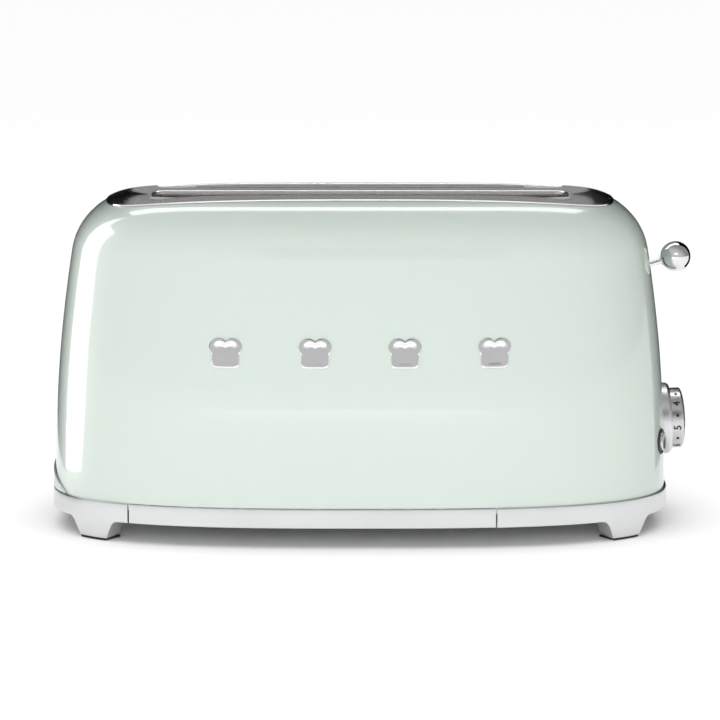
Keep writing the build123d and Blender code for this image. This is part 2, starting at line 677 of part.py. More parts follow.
# ---- Crumb tray ------------------------------------------------------------------------------
def crumb_tray():
    end = CHASSIS_X - TRAY_END_CLEAR
    pan = block((-RING_A, end), (-TRAY_HALF, TRAY_HALF), (TRAY_BOTTOM, TRAY_BOTTOM + TRAY_RIM))
    pan -= block((-BODY_A + 14, end - TRAY_WALL), (-TRAY_HALF + TRAY_WALL, TRAY_HALF - TRAY_WALL),
                 (TRAY_BOTTOM + TRAY_WALL, TRAY_BOTTOM + TRAY_RIM + 1))
    return pan & PROUD


def crumb_tray_handle():
    """An arched plate that lies over the tray's slot and follows the left end wall."""
    low = RING_TOP + HANDLE_GAP
    arch = [Line((-HANDLE_HALF, low), (HANDLE_HALF, low)),
            ThreePointArc((HANDLE_HALF, low), (0, RING_TOP + HANDLE_RISE), (-HANDLE_HALF, low))]
    face = Plane(origin=(-RING_A - 5, 0, 0), x_dir=(0, 1, 0), z_dir=(1, 0, 0)) * make_face(arch)
    plate = extrude(face, amount=40)
    return (skin(-HANDLE_GAP - HANDLE_THICKNESS, SEAT_Z) & plate) - PROUD


def main():
    os.makedirs("parts", exist_ok=True)
    save("body_shell", body_shell())
    save("top_plate", top_plate())
    feet = {(x, y): foot(x, y) for x in (-1, 1) for y in (-1, 1)}
    left = base_end(-RING_A - 1, LEFT_SEAM_X, [feet[-1, -1], feet[-1, 1]])
    right = base_end(RIGHT_SEAM_X, RING_A + 1, [feet[1, -1], feet[1, 1]])
    save("base_left_end", screw_clearance(left))
    save("base_right_end", screw_clearance(right))
    save("base_front_strip", screw_clearance(base_strip(-1)))
    save("base_rear_strip", screw_clearance(base_strip(1)))
    save("bottom_plate", bottom_plate())
    pad_zone = block((-RING_A, RING_A), (-RING_B, RING_B), (-1, PAD_THICKNESS))
    save("foot_pads", group([piece & pad_zone for piece in feet.values()]))
    save("housing_screws", housing_screws())
    save("front_tokens", front_tokens())
    save("lever_track", lever_track())
    save("cord_inlet", cord_inlet())

    save("chassis_left", chassis_end(-1))
    save("chassis_right", chassis_end(1))
    save("front_reflector", reflector(-1))
    save("rear_reflector", reflector(1))
    boards = {"front_outer": (-OUTER_BOARD_Y, 1), "front_inner": (-INNER_BOARD_Y, -1),
              "rear_inner": (INNER_BOARD_Y, 1), "rear_outer": (OUTER_BOARD_Y, -1)}
    for name, (y, facing) in boards.items():
        save(f"{name}_heater_board", heater_board(y, facing))
        save(f"{name}_heater_ribbons", heater_ribbons(y, facing))
    save("guide_rods", guide_rods())
    save("tray_rails", tray_rails())

    save("front_outer_guide", bread_guide(-OUTER_GUIDE_Y))
    save("front_inner_guide", bread_guide(-INNER_GUIDE_Y))
    save("rear_inner_guide", bread_guide(INNER_GUIDE_Y))
    save("rear_outer_guide", bread_guide(OUTER_GUIDE_Y))

    save("carriage", carriage())
    save("lift_crossbar", lift_crossbar())
    save("front_bread_lift", bread_lift(-1))
    save("rear_bread_lift", bread_lift(1))
    save("lever_stem", lever_stem())
    save("lever_ball", lever_ball())
    save("lift_spring", lift_spring())
    save("latch_armature", latch_armature())
    save("latch_magnet", latch_magnet())

    save("knob_bezel", knob_bezel())
    save("browning_knob", browning_knob())
    save("knob_shaft", knob_shaft())
    save("browning_control", browning_control())
    for name, plane in BUTTON_PLANES.items():
        save(name, button(plane))
    save("button_rings", group([button_ring(plane) for plane in BUTTON_PLANES.values()]))
    save("button_switches", group([button_switch(plane) for plane in BUTTON_PLANES.values()]))
    save("control_board", control_board())
    save("board_bracket", board_bracket())
    save("power_relay", power_relay())
    save("terminal_block", terminal_block())

    save("crumb_tray", crumb_tray())
    save("crumb_tray_handle", crumb_tray_handle())
    print("frame shift", round(FRAME_SHIFT, 3), "ball centre", BALL_CENTRE - Vector(FRAME_SHIFT, 0, 0))
    print("knob point", KNOB_PLANE.origin - Vector(FRAME_SHIFT, 0, 0), "axis", KNOB_PLANE.z_dir)
    for name, plane in BUTTON_PLANES.items():
        print(name, plane.origin - Vector(FRAME_SHIFT, 0, 0), "axis", plane.z_dir)
    print("spring", spring_span())


main()
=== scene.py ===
# %% [markdown]
# # A long-slot pop-up toaster, dressed in Blender
# The engineering model comes first. Its nodes already stand where they belong, and its moving bodies
# already have their joints. This lesson builds the visible pieces around that frame: each new piece
# takes its place and its size from the frame, and then rides on one of its bodies.

# %% Load the frame
from math import atan2, cos, hypot, pi, radians, sin, sqrt

import bpy
import numpy as np
from mathutils import Matrix, Vector


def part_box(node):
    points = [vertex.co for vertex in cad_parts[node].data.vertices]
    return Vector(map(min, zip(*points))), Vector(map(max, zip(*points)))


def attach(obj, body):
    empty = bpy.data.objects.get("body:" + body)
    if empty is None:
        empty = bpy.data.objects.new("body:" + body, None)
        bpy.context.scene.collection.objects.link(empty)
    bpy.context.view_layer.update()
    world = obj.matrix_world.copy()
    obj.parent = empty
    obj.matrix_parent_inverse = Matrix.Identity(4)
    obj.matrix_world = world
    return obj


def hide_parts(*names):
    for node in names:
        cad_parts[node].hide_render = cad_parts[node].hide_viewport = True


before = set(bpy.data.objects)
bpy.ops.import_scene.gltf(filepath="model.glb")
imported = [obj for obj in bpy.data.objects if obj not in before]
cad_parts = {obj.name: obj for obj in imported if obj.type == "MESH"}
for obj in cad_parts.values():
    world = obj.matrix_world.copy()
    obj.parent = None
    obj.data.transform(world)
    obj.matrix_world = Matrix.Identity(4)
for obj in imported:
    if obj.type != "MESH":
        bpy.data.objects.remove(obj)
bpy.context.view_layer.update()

# %% [markdown]
# ## The toaster's own measures
# Everything visible follows one plan outline, a rounded rectangle of the kind called a superellipse,
# and one side profile: a long, slow arc up the wall, then a tighter shoulder that turns over to the
# crown. The sizes come from the frame's boxes, so the looks stay true to the engineering model.

# %% Sizes read from the frame
MM = 0.001
left_low, left_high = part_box("base_left_end")
right_low, right_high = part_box("base_right_end")
shell_low, shell_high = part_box("body_shell")
plate_low, plate_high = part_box("top_plate")

MIDDLE_X = (left_low.x + right_high.x) / 2
RING_A = (right_high.x - left_low.x) / 2
BODY_A = (shell_high.x - shell_low.x) / 2
BODY_B = (shell_high.y - shell_low.y) / 2
RING_B = BODY_B + RING_A - BODY_A
RING_TOP = left_high.z
RING_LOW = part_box("base_front_strip")[0].z
SEAT_Z = shell_low.z
LEFT_SEAM = left_high.x
RIGHT_SEAM = right_low.x
STRIP_RECESS = 0.5 * MM
PLATE_THICKNESS = 0.8 * MM
PLATE_GAP = 0.25 * MM
CROWN_Z = plate_high.z - PLATE_THICKNESS - PLATE_GAP
PLAN_POWER = 2.9
SIDE_RADIUS = 924 * MM
SHOULDER_RADIUS = 42 * MM
SHOULDER_Z = CROWN_Z - SHOULDER_RADIUS
SHOULDER_X = SIDE_RADIUS - sqrt((SIDE_RADIUS - SHOULDER_RADIUS) ** 2 - (SHOULDER_Z - RING_TOP) ** 2)
SHOULDER_TURN = atan2(SHOULDER_Z - RING_TOP, SIDE_RADIUS - SHOULDER_X)
print("ring half length %.1f mm, half width %.1f mm" % (RING_A / MM, RING_B / MM))

# %% [markdown]
# ## Helpers for the outline and the wall
# `lean` says how far the wall has tipped inwards at a height. `Outline` is the plan outline measured
# along its own length, so that a strip of faces can be wrapped round it evenly, as a maker bends a
# strip of metal round a former. `wall_normal` gives the direction the smooth wall faces, which keeps
# the gloss clean where holes are cut through it.

# %% Wall and outline helpers
def lean(z):
    """How far the wall has tipped inwards at height z."""
    if z > SHOULDER_Z + SHOULDER_RADIUS * sin(SHOULDER_TURN):
        rise = min(abs(z - SHOULDER_Z), SHOULDER_RADIUS)
        return SHOULDER_X - sqrt(SHOULDER_RADIUS ** 2 - rise ** 2)
    return SIDE_RADIUS - sqrt(SIDE_RADIUS ** 2 - (z - RING_TOP) ** 2)


def outline_at(along, half_along, half_across):
    """How far out the outline stands across, at a place along the other axis, from the middle."""
    return half_across * max(0.0, 1 - abs(along / half_along) ** PLAN_POWER) ** (1 / PLAN_POWER)


class Outline:
    """The plan outline, counted along its length from the middle of the front, towards +X first."""

    def __init__(self, half_x, half_y, power=PLAN_POWER):
        turn = np.linspace(-pi / 2, 3 * pi / 2, 7201)
        c, s = np.cos(turn), np.sin(turn)
        reach = (np.abs(c / half_x) ** power + np.abs(s / half_y) ** power) ** (-1 / power)
        self.x, self.y = reach * c, reach * s
        self.run = np.concatenate([[0], np.cumsum(np.hypot(np.diff(self.x), np.diff(self.y)))])
        self.length = self.run[-1]

    def at(self, run, pull=0.0):
        """The point a run along the outline, pulled inwards square to it."""
        run = run % self.length
        x, y = np.interp(run, self.run, self.x), np.interp(run, self.run, self.y)
        step = 0.2 * MM
        ahead, behind = (run + step) % self.length, (run - step) % self.length
        tx = np.interp(ahead, self.run, self.x) - np.interp(behind, self.run, self.x)
        ty = np.interp(ahead, self.run, self.y) - np.interp(behind, self.run, self.y)
        size = hypot(tx, ty)
        return x - pull * ty / size, y + pull * tx / size

    def run_of(self, x, front=True):
        """The run at which the outline passes x, on its front or its rear."""
        half = len(self.x) // 4
        if front:
            picks = np.concatenate([np.arange(3 * half, 4 * half), np.arange(0, half + 1)])
        else:
            picks = np.arange(half, 3 * half + 1)
        order = picks[np.argsort(self.x[picks])]
        where = np.interp(x, self.x[order], np.arange(len(order)))
        return self.run[order[int(round(where))]]


def wall_normal(x, y, z):
    """The way the smooth wall faces at a point on it, x measured from the middle."""
    half_x, half_y = BODY_A - lean(z), BODY_B - lean(z)
    u, v = abs(x / half_x), abs(y / half_y)
    slope_x = u ** (PLAN_POWER - 1) / half_x * (1 if x > 0 else -1)
    slope_y = v ** (PLAN_POWER - 1) / half_y * (1 if y > 0 else -1)
    step = 0.02 * MM
    tilt = (lean(z + step) - lean(z - step)) / (2 * step)
    slope_z = (u ** PLAN_POWER / half_x + v ** PLAN_POWER / half_y) * tilt
    return Vector((slope_x, slope_y, slope_z)).normalized()


def crown_height(x, y, proud=0.0):
    """The height of a skin that stands proud of the crown, x measured from the middle."""
    low, high = 0.0, SHOULDER_X
    for _ in range(40):
        middle = (low + high) / 2
        inside = abs(x / (BODY_A - middle)) ** PLAN_POWER + abs(y / (BODY_B - middle)) ** PLAN_POWER < 1
        low, high = (middle, high) if inside else (low, middle)
    shoulder = SHOULDER_RADIUS + proud
    return SHOULDER_Z + sqrt(max(0.0, shoulder ** 2 - (SHOULDER_X - low) ** 2))


ring_line = Outline(RING_A, RING_B)
print("the ring's outline is %.0f mm round" % (ring_line.length / MM))

# %% [markdown]
# ## Helpers for modelling by hand
# Blender's operators act on whatever is selected, so each helper first deselects everything. A piece
# ends with its object at the origin and its place in its mesh, as the frame's nodes have.

# %% Modelling helpers
def clear_selection():
    bpy.ops.object.select_all(action="DESELECT")


def only(piece):
    clear_selection()
    piece.select_set(True)
    bpy.context.view_layer.objects.active = piece


def new_piece(name):
    """Names the primitive that was just added."""
    piece = bpy.context.object
    piece.name = piece.data.name = name
    return piece


def settle(piece):
    """Puts the piece's place into its mesh."""
    bpy.context.view_layer.update()
    piece.data.transform(piece.matrix_world)
    piece.matrix_world = Matrix.Identity(4)


def move_points(piece, rule):
    """Moves every vertex by a rule on its coordinates."""
    for vertex in piece.data.vertices:
        vertex.co = rule(*vertex.co)
    piece.data.update()


def edit_all():
    """Enters edit mode with the whole of the active piece selected."""
    bpy.ops.object.mode_set(mode="EDIT")
    bpy.ops.mesh.select_all(action="SELECT")


def pick_edges(piece, rule):
    """Enters edit mode with only those edges selected whose two ends meet a rule."""
    bpy.ops.object.mode_set(mode="EDIT")
    bpy.ops.mesh.select_mode(type="EDGE")
    bpy.ops.mesh.select_all(action="DESELECT")
    bpy.ops.object.mode_set(mode="OBJECT")
    for edge in piece.data.edges:
        edge.select = rule(*(piece.data.vertices[i].co for i in edge.vertices))
    bpy.ops.object.mode_set(mode="EDIT")


def face_out(piece):
    """Joins doubled points and turns every face outwards."""
    only(piece)
    edit_all()
    bpy.ops.mesh.remove_doubles(threshold=0.002 * MM)
    bpy.ops.mesh.normals_make_consistent(inside=False)
    bpy.ops.object.mode_set(mode="OBJECT")


def close_ends(piece):
    """Fills the small holes that a lathe profile leaves on its axis."""
    only(piece)
    edit_all()
    bpy.ops.mesh.fill_holes(sides=200)
    bpy.ops.object.mode_set(mode="OBJECT")
    face_out(piece)


def add_modifier(piece, kind, **settings):
    """Adds a modifier, sets it and applies it."""
    only(piece)
    modifier = piece.modifiers.new(kind.lower(), kind)
    for key, value in settings.items():
        setattr(modifier, key, value)
    bpy.ops.object.modifier_apply(modifier=modifier.name)


def smooth(piece, degrees=32):
    only(piece)
    bpy.ops.object.shade_smooth_by_angle(angle=radians(degrees))


def cut(piece, cutters, operation="DIFFERENCE"):
    for cutter in cutters:
        add_modifier(piece, "BOOLEAN", object=cutter, operation=operation, solver="EXACT")
        bpy.data.objects.remove(cutter)


def wear(piece, finish_name, body, *nodes):
    """Gives a piece its finish and its body, and hides the frame nodes that it stands for."""
    piece.data.materials.clear()
    piece.data.materials.append(FINISHES[finish_name])
    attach(piece, body)
    if nodes:
        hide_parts(*nodes)
    print(piece.name, len(piece.data.polygons), "faces,", finish_name, "on", body)


def lathe(name, profile, origin=(0, 0, 0), axis=(0, 0, 1), segments=96, closed=False):
    """Turns a profile of (radius, height) pairs: a circle drawn out ring by ring, as on a lathe."""
    radius, height = profile[0]
    clear_selection()
    bpy.ops.mesh.primitive_circle_add(vertices=segments, radius=radius, location=(0, 0, height))
    piece = new_piece(name)
    settle(piece)
    edit_all()
    if not closed:
        bpy.ops.mesh.edge_face_add()
    for next_radius, next_height in profile[1:]:
        bpy.ops.mesh.extrude_region_move(
            TRANSFORM_OT_translate={"value": (0, 0, next_height - height)})
        grow = next_radius / radius
        bpy.ops.transform.resize(value=(grow, grow, 1), center_override=(0, 0, 0))
        radius, height = next_radius, next_height
    bpy.ops.object.mode_set(mode="OBJECT")
    face_out(piece)
    turn = Vector((0, 0, 1)).rotation_difference(Vector(axis).normalized())
    piece.data.transform(Matrix.Translation(Vector(origin)) @ turn.to_matrix().to_4x4())
    return piece


def rounded(points, radius, segments=5):
    """Rounds the inner corners of a profile, given as (radius, height) pairs, with small arcs."""
    result = [points[0]]
    for before, corner, after in zip(points, points[1:], points[2:]):
        here = Vector(corner)
        back, on = Vector(before) - here, Vector(after) - here
        reach = min(radius, 0.45 * back.length, 0.45 * on.length)
        start, end = here + back.normalized() * reach, here + on.normalized() * reach
        for step in range(segments + 1):
            t = step / segments
            point = start * (1 - t) ** 2 + here * 2 * t * (1 - t) + end * t ** 2
            result.append(tuple(point))
    result.append(points[-1])
    return result


# %% [markdown]
# ## Finishes
# One function makes every finish: a Principled surface whose roughness, tone and tiny relief vary with
# noise that is fixed to the piece. Each finish then sets its own numbers: enamel is a smooth coat over
# colour, plated metal is a mirror that is slightly worn, sheet steel is stretched noise along its
# rolling direction, and mica shows flakes.

# %% Finish helper
def set_inputs(node, **values):
    """Sets a node's sockets by name, with an underscore for each space."""
    for key, value in values.items():
        node.inputs[key.replace("_", " ")].default_value = value


def make_finish(name, colour, metallic=0.0, roughness=0.4, spread=0.08, grain=400.0, stretch=(1, 1, 1),
                relief=0.05, mottle=0.04, patches=25.0, coat=0.0, coat_roughness=0.03, level=0.5,
                flakes=0.0):
    """A procedural finish whose fine grain and broad patches vary its roughness, tone and relief."""
    material = bpy.data.materials.new(name)
    material.use_nodes = True
    nodes, links = material.node_tree.nodes, material.node_tree.links
    shader = nodes["Principled BSDF"]
    set_inputs(shader, Metallic=metallic, Coat_Weight=coat, Coat_Roughness=coat_roughness,
               Specular_IOR_Level=level)
    place = nodes.new("ShaderNodeTexCoord")
    mapping = nodes.new("ShaderNodeMapping")
    set_inputs(mapping, Scale=stretch)
    links.new(place.outputs["Object"], mapping.inputs["Vector"])
    fine = nodes.new("ShaderNodeTexNoise")
    set_inputs(fine, Scale=grain, Detail=4)
    links.new(mapping.outputs["Vector"], fine.inputs["Vector"])
    broad = nodes.new("ShaderNodeTexNoise")
    set_inputs(broad, Scale=patches, Detail=3)
    links.new(place.outputs["Object"], broad.inputs["Vector"])
    height = fine.outputs["Fac"]
    if flakes:
        cells = nodes.new("ShaderNodeTexVoronoi")
        set_inputs(cells, Scale=flakes)
        links.new(mapping.outputs["Vector"], cells.inputs["Vector"])
        height = cells.outputs["Distance"]
    blend = nodes.new("ShaderNodeMath")
    blend.operation = "MULTIPLY_ADD"
    blend.inputs[1].default_value = 0.5
    links.new(height, blend.inputs[0])
    halved = nodes.new("ShaderNodeMath")
    halved.operation = "MULTIPLY"
    halved.inputs[1].default_value = 0.5
    links.new(broad.outputs["Fac"], halved.inputs[0])
    links.new(halved.outputs[0], blend.inputs[2])
    rough = nodes.new("ShaderNodeMapRange")
    set_inputs(rough, From_Min=0.35, From_Max=0.65, To_Min=max(0.02, roughness - spread),
               To_Max=min(1.0, roughness + spread))
    links.new(blend.outputs[0], rough.inputs["Value"])
    links.new(rough.outputs["Result"], shader.inputs["Roughness"])
    tone = nodes.new("ShaderNodeMix")
    tone.data_type = "RGBA"
    dark = [max(0.0, c * (1 - mottle)) for c in colour]
    light = [min(1.0, c * (1 + mottle)) for c in colour]
    set_inputs(tone, A=(*dark, 1), B=(*light, 1))
    links.new(blend.outputs[0], tone.inputs["Factor"])
    links.new(tone.outputs["Result"], shader.inputs["Base Color"])
    bump = nodes.new("ShaderNodeBump")
    set_inputs(bump, Strength=relief, Distance=0.1 * MM)
    links.new(height, bump.inputs["Height"])
    links.new(bump.outputs["Normal"], shader.inputs["Normal"])
    return material


# %% The toaster's finishes
FINISHES = {
    "pastel_enamel": make_finish("pastel_enamel", (0.59, 0.67, 0.61), roughness=0.32, spread=0.03,
                                 grain=160, relief=0.012, mottle=0.012, patches=9, coat=1.0,
                                 coat_roughness=0.02),
    "polished_steel": make_finish("polished_steel", (0.72, 0.70, 0.70), metallic=1.0, roughness=0.16,
                                  spread=0.05, grain=90, stretch=(1, 40, 40), relief=0.03),
    "satin_casting": make_finish("satin_casting", (0.73, 0.735, 0.74), metallic=1.0, roughness=0.34,
                                 spread=0.06, grain=900, relief=0.05, mottle=0.03, patches=30),
    "chrome": make_finish("chrome", (0.75, 0.75, 0.76), metallic=1.0, roughness=0.07, spread=0.035,
                          grain=120, relief=0.008, mottle=0.02, patches=60),
    "dial_silver": make_finish("dial_silver", (0.63, 0.63, 0.63), metallic=1.0, roughness=0.3,
                               spread=0.05, grain=1200, relief=0.05, mottle=0.03, patches=80),
    "black_rubber": make_finish("black_rubber", (0.022, 0.022, 0.022), roughness=0.72, spread=0.1,
                                grain=1500, relief=0.2, mottle=0.25, patches=90, level=0.4),
    "dark_plastic": make_finish("dark_plastic", (0.035, 0.035, 0.038), roughness=0.5, spread=0.1,
                                grain=1800, relief=0.15, mottle=0.2, patches=70, level=0.4),
    "button_silver": make_finish("button_silver", (0.72, 0.72, 0.70), metallic=0.9, roughness=0.26,
                                 spread=0.05, grain=900, relief=0.03, mottle=0.03, patches=90),
    "zinc_sheet": make_finish("zinc_sheet", (0.56, 0.57, 0.58), metallic=1.0, roughness=0.4,
                              spread=0.14, grain=220, relief=0.06, mottle=0.14, patches=70, flakes=140),
    "mica_board": make_finish("mica_board", (0.62, 0.55, 0.42), roughness=0.5, spread=0.2, grain=300,
                              relief=0.25, mottle=0.3, patches=45, flakes=330),
    "heater_ribbon": make_finish("heater_ribbon", (0.30, 0.26, 0.23), metallic=0.9, roughness=0.5,
                                 spread=0.15, grain=60, stretch=(4, 1, 1), relief=0.1, mottle=0.3),
    "spring_steel": make_finish("spring_steel", (0.60, 0.60, 0.61), metallic=1.0, roughness=0.26,
                                spread=0.1, grain=500, relief=0.05, mottle=0.1),
    "circuit_board": make_finish("circuit_board", (0.05, 0.22, 0.10), roughness=0.35, spread=0.12,
                                 grain=260, stretch=(1, 1, 1), relief=0.3, mottle=0.35, flakes=110),
    "copper_coil": make_finish("copper_coil", (0.72, 0.36, 0.18), metallic=1.0, roughness=0.3,
                               spread=0.1, grain=60, stretch=(1, 1, 20), relief=0.5, mottle=0.15),
    "dial_marks": make_finish("dial_marks", (0.02, 0.02, 0.02), roughness=0.5, spread=0.1,
                              grain=1500, relief=0.05, mottle=0.2),
}
print(len(FINISHES), "finishes made")

# %% [markdown]
# ## Finishes on the frame's own nodes
# Many inner parts already have their right shape: the chassis, the heater boards, the bread guides and
# the carriage. They keep their meshes and only trade the plain colour for the real finish.

# %% Dress the frame's nodes
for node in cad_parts.values():
    for holder in node.material_slots:
        holder.material = FINISHES[holder.material.name.split(".")[0]]
print("all nodes dressed")

# %% [markdown]
# ## Body shell
# The real shell is one deep-drawn steel pressing, enamelled in a pastel colour. It could be lofted from
# curves, but a hand modeller would draw one outline and pull it up: a circle is moved out onto the
# plan outline, then its edge is extruded up and scaled in, level by level, round the shoulder. The
# sheet gets its thickness last, and the openings are cut through it.

# %% Draw up the shell
AROUND = 320
SHELL_WALL = 1.2 * MM
WALL_LEVELS = 26
SHOULDER_LEVELS = 26
CROWN_ANGLE = radians(80)

body_line = Outline(BODY_A, BODY_B)
clear_selection()
bpy.ops.mesh.primitive_circle_add(vertices=AROUND, radius=BODY_A, location=(0, 0, 0))
body_shell = new_piece("enamelled_body_shell")
for index, vertex in enumerate(body_shell.data.vertices):
    x, y = body_line.at(body_line.length * index / AROUND)
    vertex.co = (x, y, SEAT_Z)

turn_z = SHOULDER_Z + SHOULDER_RADIUS * sin(SHOULDER_TURN)
levels = [SEAT_Z + (turn_z - SEAT_Z) * step / WALL_LEVELS for step in range(1, WALL_LEVELS)]
for step in range(SHOULDER_LEVELS + 1):
    angle = SHOULDER_TURN + (CROWN_ANGLE - SHOULDER_TURN) * step / SHOULDER_LEVELS
    levels.append(SHOULDER_Z + SHOULDER_RADIUS * sin(angle))
edit_all()
half_x, half_y, last_z = BODY_A, BODY_B, SEAT_Z
for z in levels:
    bpy.ops.mesh.extrude_region_move(TRANSFORM_OT_translate={"value": (0, 0, z - last_z)})
    next_x, next_y = BODY_A - lean(z), BODY_B - lean(z)
    bpy.ops.transform.resize(value=(next_x / half_x, next_y / half_y, 1), center_override=(0, 0, 0))
    half_x, half_y, last_z = next_x, next_y, z
bpy.ops.object.mode_set(mode="OBJECT")
face_out(body_shell)
print("shell drawn in", len(levels), "levels")

# %% Make sure that the drawn sheet faces out, and thicken it inwards
outward = sum(1 for face in body_shell.data.polygons if face.normal.dot(face.center) > 0)
if outward < len(body_shell.data.polygons) / 2:
    body_shell.data.flip_normals()
add_modifier(body_shell, "SOLIDIFY", thickness=SHELL_WALL, offset=-1, use_even_offset=True)
body_shell.data.transform(Matrix.Translation((MIDDLE_X, 0, 0)))
print("shell wall", SHELL_WALL / MM, "mm")

# %% [markdown]
# ## Openings in the shell
# The lever, the dial, the two buttons, the crumb tray and the cord each pass through the pressing. The
# cutters are placed from the frame's nodes and stand square to the wall, as punches would.

# %% Cutter helpers
def box_cutter(low, high, corner=0.0, along=0, segments=8):
    """A box for cutting, with its edges along one axis rounded."""
    middle = [(a + b) / 2 for a, b in zip(low, high)]
    clear_selection()
    bpy.ops.mesh.primitive_cube_add(size=1, location=middle)
    cutter = bpy.context.object
    cutter.scale = [b - a for a, b in zip(low, high)]
    settle(cutter)
    if corner:
        reach = 0.9 * (high[along] - low[along])
        pick_edges(cutter, lambda a, b: abs(a[along] - b[along]) > reach)
        bpy.ops.mesh.bevel(offset=corner, segments=segments, affect="EDGES")
        bpy.ops.object.mode_set(mode="OBJECT")
    return cutter


def round_cutter(radius, length, origin, axis):
    """A round bar for cutting, centred on a point."""
    clear_selection()
    bpy.ops.mesh.primitive_cylinder_add(vertices=72, radius=radius, depth=length, location=(0, 0, 0))
    cutter = bpy.context.object
    turn = Vector((0, 0, 1)).rotation_difference(Vector(axis))
    cutter.data.transform(Matrix.Translation(Vector(origin)) @ turn.to_matrix().to_4x4())
    return cutter


# %% Where the dial and the buttons stand
KNOB_Z = 64 * MM
BUTTON_Y = 40 * MM
BUTTON_Z = 56 * MM


def end_point(y, z):
    """A point on the right end wall and the way the wall faces there."""
    x = outline_at(y, BODY_B - lean(z), BODY_A - lean(z))
    return Vector((x + MIDDLE_X, y, z)), wall_normal(x, y, z)


knob_point, knob_axis = end_point(0.0, KNOB_Z)
knob_axis = Vector((knob_axis.x, 0, knob_axis.z)).normalized()
button_seats = {"defrost": end_point(-BUTTON_Y, BUTTON_Z), "cancel": end_point(BUTTON_Y, BUTTON_Z)}
print("dial seat", [round(v / MM, 1) for v in knob_point])

# %% Cut the openings
LEVER_SLOT_LOW = 100.2 * MM
LEVER_SLOT_HIGH = 167.7 * MM
LEVER_SLOT_HALF = 2.3 * MM
LEVER_SLOT_CORNER = 1.95 * MM
TRAY_CLEAR = 0.5 * MM
BEZEL_BORE_R = 19.9 * MM
BUTTON_RING_R = 8.3 * MM
INLET_R = 6.2 * MM
tray_low, tray_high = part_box("crumb_tray")
inlet_low, inlet_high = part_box("cord_inlet")
INLET_POINT = Vector(((inlet_low.x + inlet_high.x) / 2, 0, (inlet_low.z + inlet_high.z) / 2))

slot_cutter = box_cutter((MIDDLE_X + BODY_A - 40 * MM, -LEVER_SLOT_HALF, LEVER_SLOT_LOW),
                         (MIDDLE_X + BODY_A + 10 * MM, LEVER_SLOT_HALF, LEVER_SLOT_HIGH),
                         LEVER_SLOT_CORNER)
tray_cutter = box_cutter((tray_low.x - 5 * MM, tray_low.y - TRAY_CLEAR, tray_low.z - TRAY_CLEAR),
                         (tray_low.x + 35 * MM, tray_high.y + TRAY_CLEAR, tray_high.z + TRAY_CLEAR))
inlet_cutter = round_cutter(INLET_R, 40 * MM, INLET_POINT + Vector((0, BODY_B - 5 * MM, 0)), (0, 1, 0))
dial_cutter = round_cutter(BEZEL_BORE_R, 20 * MM, knob_point, knob_axis)
cutters = [slot_cutter, tray_cutter, inlet_cutter, dial_cutter]
for seat, facing in button_seats.values():
    cutters.append(round_cutter(BUTTON_RING_R, 12 * MM, seat, facing))
cut(body_shell, cutters)
print("shell has", len(body_shell.data.polygons), "faces after the cuts")

# %% [markdown]
# ## Clean gloss beside the holes
# Cutting leaves long thin faces round each hole, and smooth shading would ripple across them. The
# wall's own direction is known at every point, so the corners of its outer faces are given that
# direction, and the gloss runs straight up to the edge of each hole.

# %% Set the shading directions from the true wall
WALL_MATCH = 0.9


def shade_from_wall(piece):
    """Gives the corners of the outer faces the true wall's direction."""
    smooth(piece, 40)
    mesh = piece.data
    directions = [Vector((0, 0, 0))] * len(mesh.loops)
    for face in mesh.polygons:
        for index in face.loop_indices:
            point = mesh.vertices[mesh.loops[index].vertex_index].co
            true = wall_normal(point.x - MIDDLE_X, point.y, point.z)
            if true.dot(face.normal) > WALL_MATCH:
                directions[index] = true
    mesh.normals_split_custom_set(directions)
    mesh.update()


shade_from_wall(body_shell)
wear(body_shell, "pastel_enamel", "housing", "body_shell")

# %% [markdown]
# ## Base castings and strips
# A plated ring carries the body. Its two ends are castings with a pair of feet each, and a plain strip
# joins them at the front and at the rear, set back a little, with a fine seam between. All four are
# the same job: a flat grid of faces is wrapped round the outline, its lower edge follows the feet, and
# the sheet is then extruded inwards to its thickness.

# %% The foot's shape
FOOT_MIDDLE_X = 168 * MM
FOOT_TOP = 12.8 * MM
PAD_HEIGHT = 1.2 * MM
FOOT_REACH = 25 * MM
FOOT_DEPTH = 15 * MM
FOOT_DRAFT = 1.9 * MM
SOLE_END, TOE_END, SIDE_END, FLANK_END = 8.6 * MM, 10.9 * MM, 14.6 * MM, 21.6 * MM
TOE_RISE = 0.9 * MM
SIDE_SLOPE = 2.0
FLANK_CURL = 4.5 * MM
LIP_HEIGHT = 1.6 * MM
CASTING_BAND = 6.5 * MM
CASTING_LIP = 11 * MM
GROOVE_LIP = 0.9 * MM


def flank_height(t):
    """The height of the casting's lower edge, t away from the middle of a foot."""
    if t < SOLE_END:
        height = 0.0
    elif t < TOE_END:
        height = TOE_RISE * ((t - SOLE_END) / (TOE_END - SOLE_END)) ** 2
    elif t < SIDE_END:
        height = TOE_RISE + (t - TOE_END) * SIDE_SLOPE
    elif t < FLANK_END:
        height = FOOT_TOP - FLANK_CURL * ((FLANK_END - t) / (FLANK_END - SIDE_END)) ** 3
    else:
        height = FOOT_TOP
    return min(height, FOOT_TOP)


foot_runs = []
for side in (-1, 1):
    for front in (True, False):
        foot_runs.append(ring_line.run_of(side * FOOT_MIDDLE_X, front))
print("feet at", [round(run / MM) for run in foot_runs], "mm along the outline")


def foot_distance(run):
    """How far a run along the outline is from the nearest foot's middle."""
    away = [abs((run - foot + ring_line.length / 2) % ring_line.length - ring_line.length / 2)
            for foot in foot_runs]
    return min(away)


